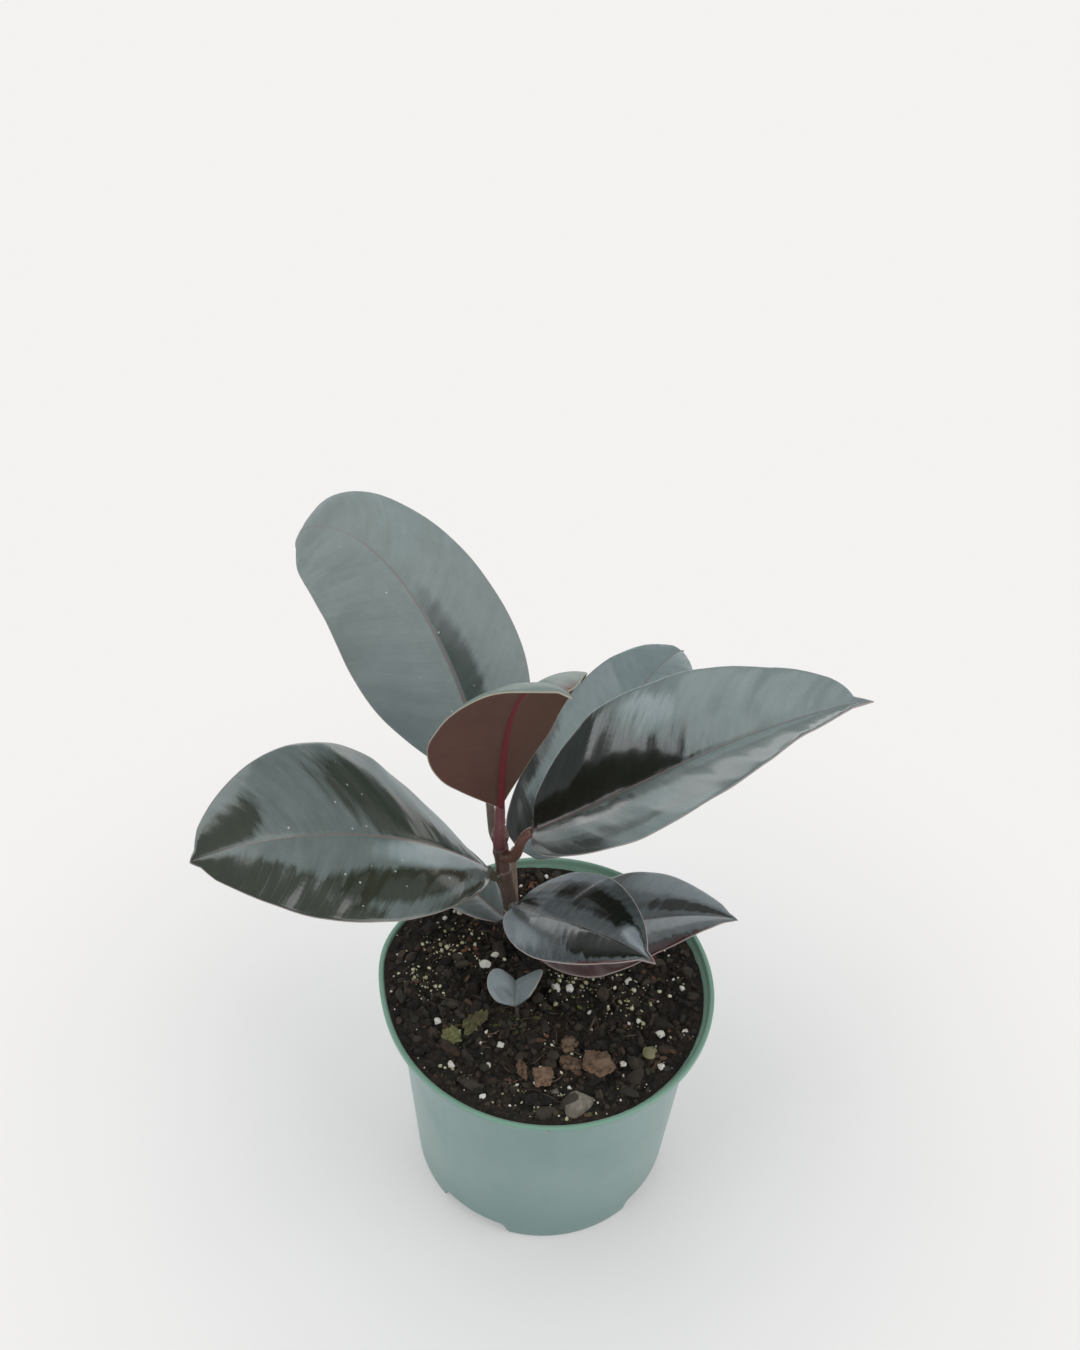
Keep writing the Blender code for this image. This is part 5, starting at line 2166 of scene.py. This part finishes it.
@dataclass(frozen=True)
class SoftBox:
    """One rectangular studio light, aimed at the plant."""

    name: str
    azimuth_deg: float
    height_deg: float
    distance: float
    size: Pair
    radiance: float
    tint: Rgb = (1.0, 1.0, 1.0)

    def hang(self, target: Vector) -> None:
        """Adds the light. Azimuth 0 is to the right (+X), 90 behind the plant (+Y).

        Args:
            target: The point that it is aimed at.
        """
        azimuth, rise = math.radians(self.azimuth_deg), math.radians(self.height_deg)
        level = Vector((math.cos(azimuth), math.sin(azimuth), 0))
        away = level * math.cos(rise) + Vector((0, 0, math.sin(rise)))
        lamp = bpy.data.lights.new(self.name, "AREA")
        lamp.shape = "RECTANGLE"
        lamp.size, lamp.size_y = self.size
        lamp.energy = self.radiance * math.pi * self.size[0] * self.size[1]
        lamp.color = self.tint
        holder = bpy.data.objects.new(self.name, lamp)
        holder.location = target + away * self.distance
        holder.rotation_euler = (-away).to_track_quat("-Z", "Y").to_euler()
        holder.visible_camera = False
        bpy.context.scene.collection.objects.link(holder)


@dataclass
class Studio:
    """A pale floor, soft light and the camera.

    near_floor is where, away from the pot, the floor goes over from its lit colour to the backdrop's,
    and floor_glow the backdrop's share nearer than that. wall_top is the range of the upward look over
    which the walls go over to the ceiling.
    """

    floor_size: float = 14.0
    floor_gap: float = 0.3 * MM
    floor_colour: Rgb = (0.85, 0.84, 0.83)
    backdrop: Rgb = (0.9, 0.89, 0.88)
    near_floor: Pair = (0.1, 0.38)
    floor_glow: float = 0.3
    wall_top: Pair = (0.165, 0.3)
    room_colour: Rgb = (0.95, 0.97, 1.0)
    room_strength: float = 0.4
    camera_place: Triple = (0.0, -0.4271, 0.6909)
    camera_right: Triple = (0.9981, 0.0531, 0.0326)
    camera_up: Triple = (-0.0597, 0.6630, 0.7463)
    lens_mm: float = 40.0
    sensor_mm: float = 36.0
    clip: Pair = (0.01, 50.0)
    boxes: tuple[SoftBox, ...] = (
        SoftBox("top_softbox", 115, 74, 1.5, (1.2, 1.2), 1.8, COOL),
        SoftBox("back_softbox", 95, 6, 1.8, (2.4, 0.56), 1.15, COOL),
        SoftBox("rear_left_softbox", 174, 51, 1.6, (0.45, 0.45), 2.4, COOL),
        SoftBox("front_left_softbox", -150, 32, 1.7, (1.2, 1.2), 1.45),
        SoftBox("front_right_softbox", -22, 33, 1.7, (1.4, 1.2), 2.0),
    )

    @staticmethod
    def seen(graph: Graph) -> Port:
        """Tells the rays that show the backdrop: from the camera, off gloss and through glass.

        Args:
            graph: The graph of the floor or the room.

        Returns:
            1 for those rays, 0 for the ones that light the plant.
        """
        ways = graph.node("ShaderNodeLightPath").outputs
        share = Port(graph, ways["Is Camera Ray"])
        for way in ("Is Glossy Ray", "Is Transmission Ray"):
            share = graph.maths("MAXIMUM", share, Port(graph, ways[way]))
        return share

    @staticmethod
    def show(graph: Graph, share: Port, lit: str, pale: bpy.types.Node, output: str) -> None:
        """Shows the backdrop's own colour to a share of the rays.

        Args:
            graph: The graph of the floor or the room.
            share: The share.
            lit: The shader node for the others.
            pale: The shader node of the backdrop.
            output: The node that the result goes to.
        """
        first, second = Port(graph, graph.tree.nodes[lit].outputs[0]), Port(graph, pale.outputs[0])
        shown = graph.node("ShaderNodeMixShader", None, {0: share, 1: first, 2: second})
        graph.feed(graph.tree.nodes[output].inputs["Surface"], Port(graph, shown.outputs[0]))

    def lay_floor(self) -> None:
        """Adds the pale floor, which keeps the plant's soft shadow close to the pot."""
        Bench.clear()
        bpy.ops.mesh.primitive_plane_add(size=self.floor_size, location=(0, 0, -self.floor_gap))
        floor = Bench.added("studio_floor")
        graph = Graph("studio_floor")
        graph.dress(base_color=self.floor_colour, roughness=0.9)
        away = graph.node("ShaderNodeVectorMath", {"operation": "LENGTH"}, {0: graph.place()})
        far = graph.rise(Port(graph, away.outputs["Value"]), *self.near_floor)
        share = self.seen(graph) * (self.floor_glow + (1 - self.floor_glow) * far)
        pale = graph.node("ShaderNodeEmission", None, {"Color": self.backdrop, "Strength": 1.0})
        self.show(graph, share, "Principled BSDF", pale, "Material Output")
        floor.data.materials.append(graph.owner)

    def set_room(self) -> None:
        """Gives the room an even light from all round, and pale walls under a dimmer ceiling."""
        graph = Graph("studio", bpy.data.worlds)
        bpy.context.scene.world = graph.owner
        light = graph.tree.nodes["Background"].inputs
        graph.feed(light["Color"], self.room_colour)
        graph.feed(light["Strength"], self.room_strength)
        pale = graph.node("ShaderNodeBackground", None, {"Color": self.backdrop})
        way = Port(graph, graph.node("ShaderNodeTexCoord").outputs["Generated"])
        wall = graph.ease(graph.height_of(way), *self.wall_top, 1.0, 0.0)
        self.show(graph, self.seen(graph) * wall, "Background", pale, "World Output")

    def set_camera(self) -> None:
        """Places the camera."""
        lens = bpy.data.cameras.new("camera")
        lens.lens = self.lens_mm
        lens.sensor_width = self.sensor_mm
        lens.clip_start, lens.clip_end = self.clip
        camera = bpy.data.objects.new("camera", lens)
        right = Vector(self.camera_right).normalized()
        up = Vector(self.camera_up)
        up = (up - right * up.dot(right)).normalized()
        back = right.cross(up)
        turn = Matrix((right, up, back)).transposed()
        camera.matrix_world = Matrix.Translation(self.camera_place) @ turn.to_4x4()
        bpy.context.scene.collection.objects.link(camera)
        bpy.context.scene.camera = camera

    def build(self) -> None:
        """Sets up the studio."""
        self.lay_floor()
        self.set_room()
        target = (CAD_BOX[0] + CAD_BOX[1]) / 2
        for box in self.boxes:
            box.hang(target)
        self.set_camera()
        bpy.context.scene.view_settings.view_transform = "Standard"


def main() -> None:
    """Builds the plant and the studio."""
    logging.basicConfig(level=logging.INFO, format="%(name)s: %(message)s")
    Plant().build()
    Studio().build()


if __name__ == "__main__":
    main()
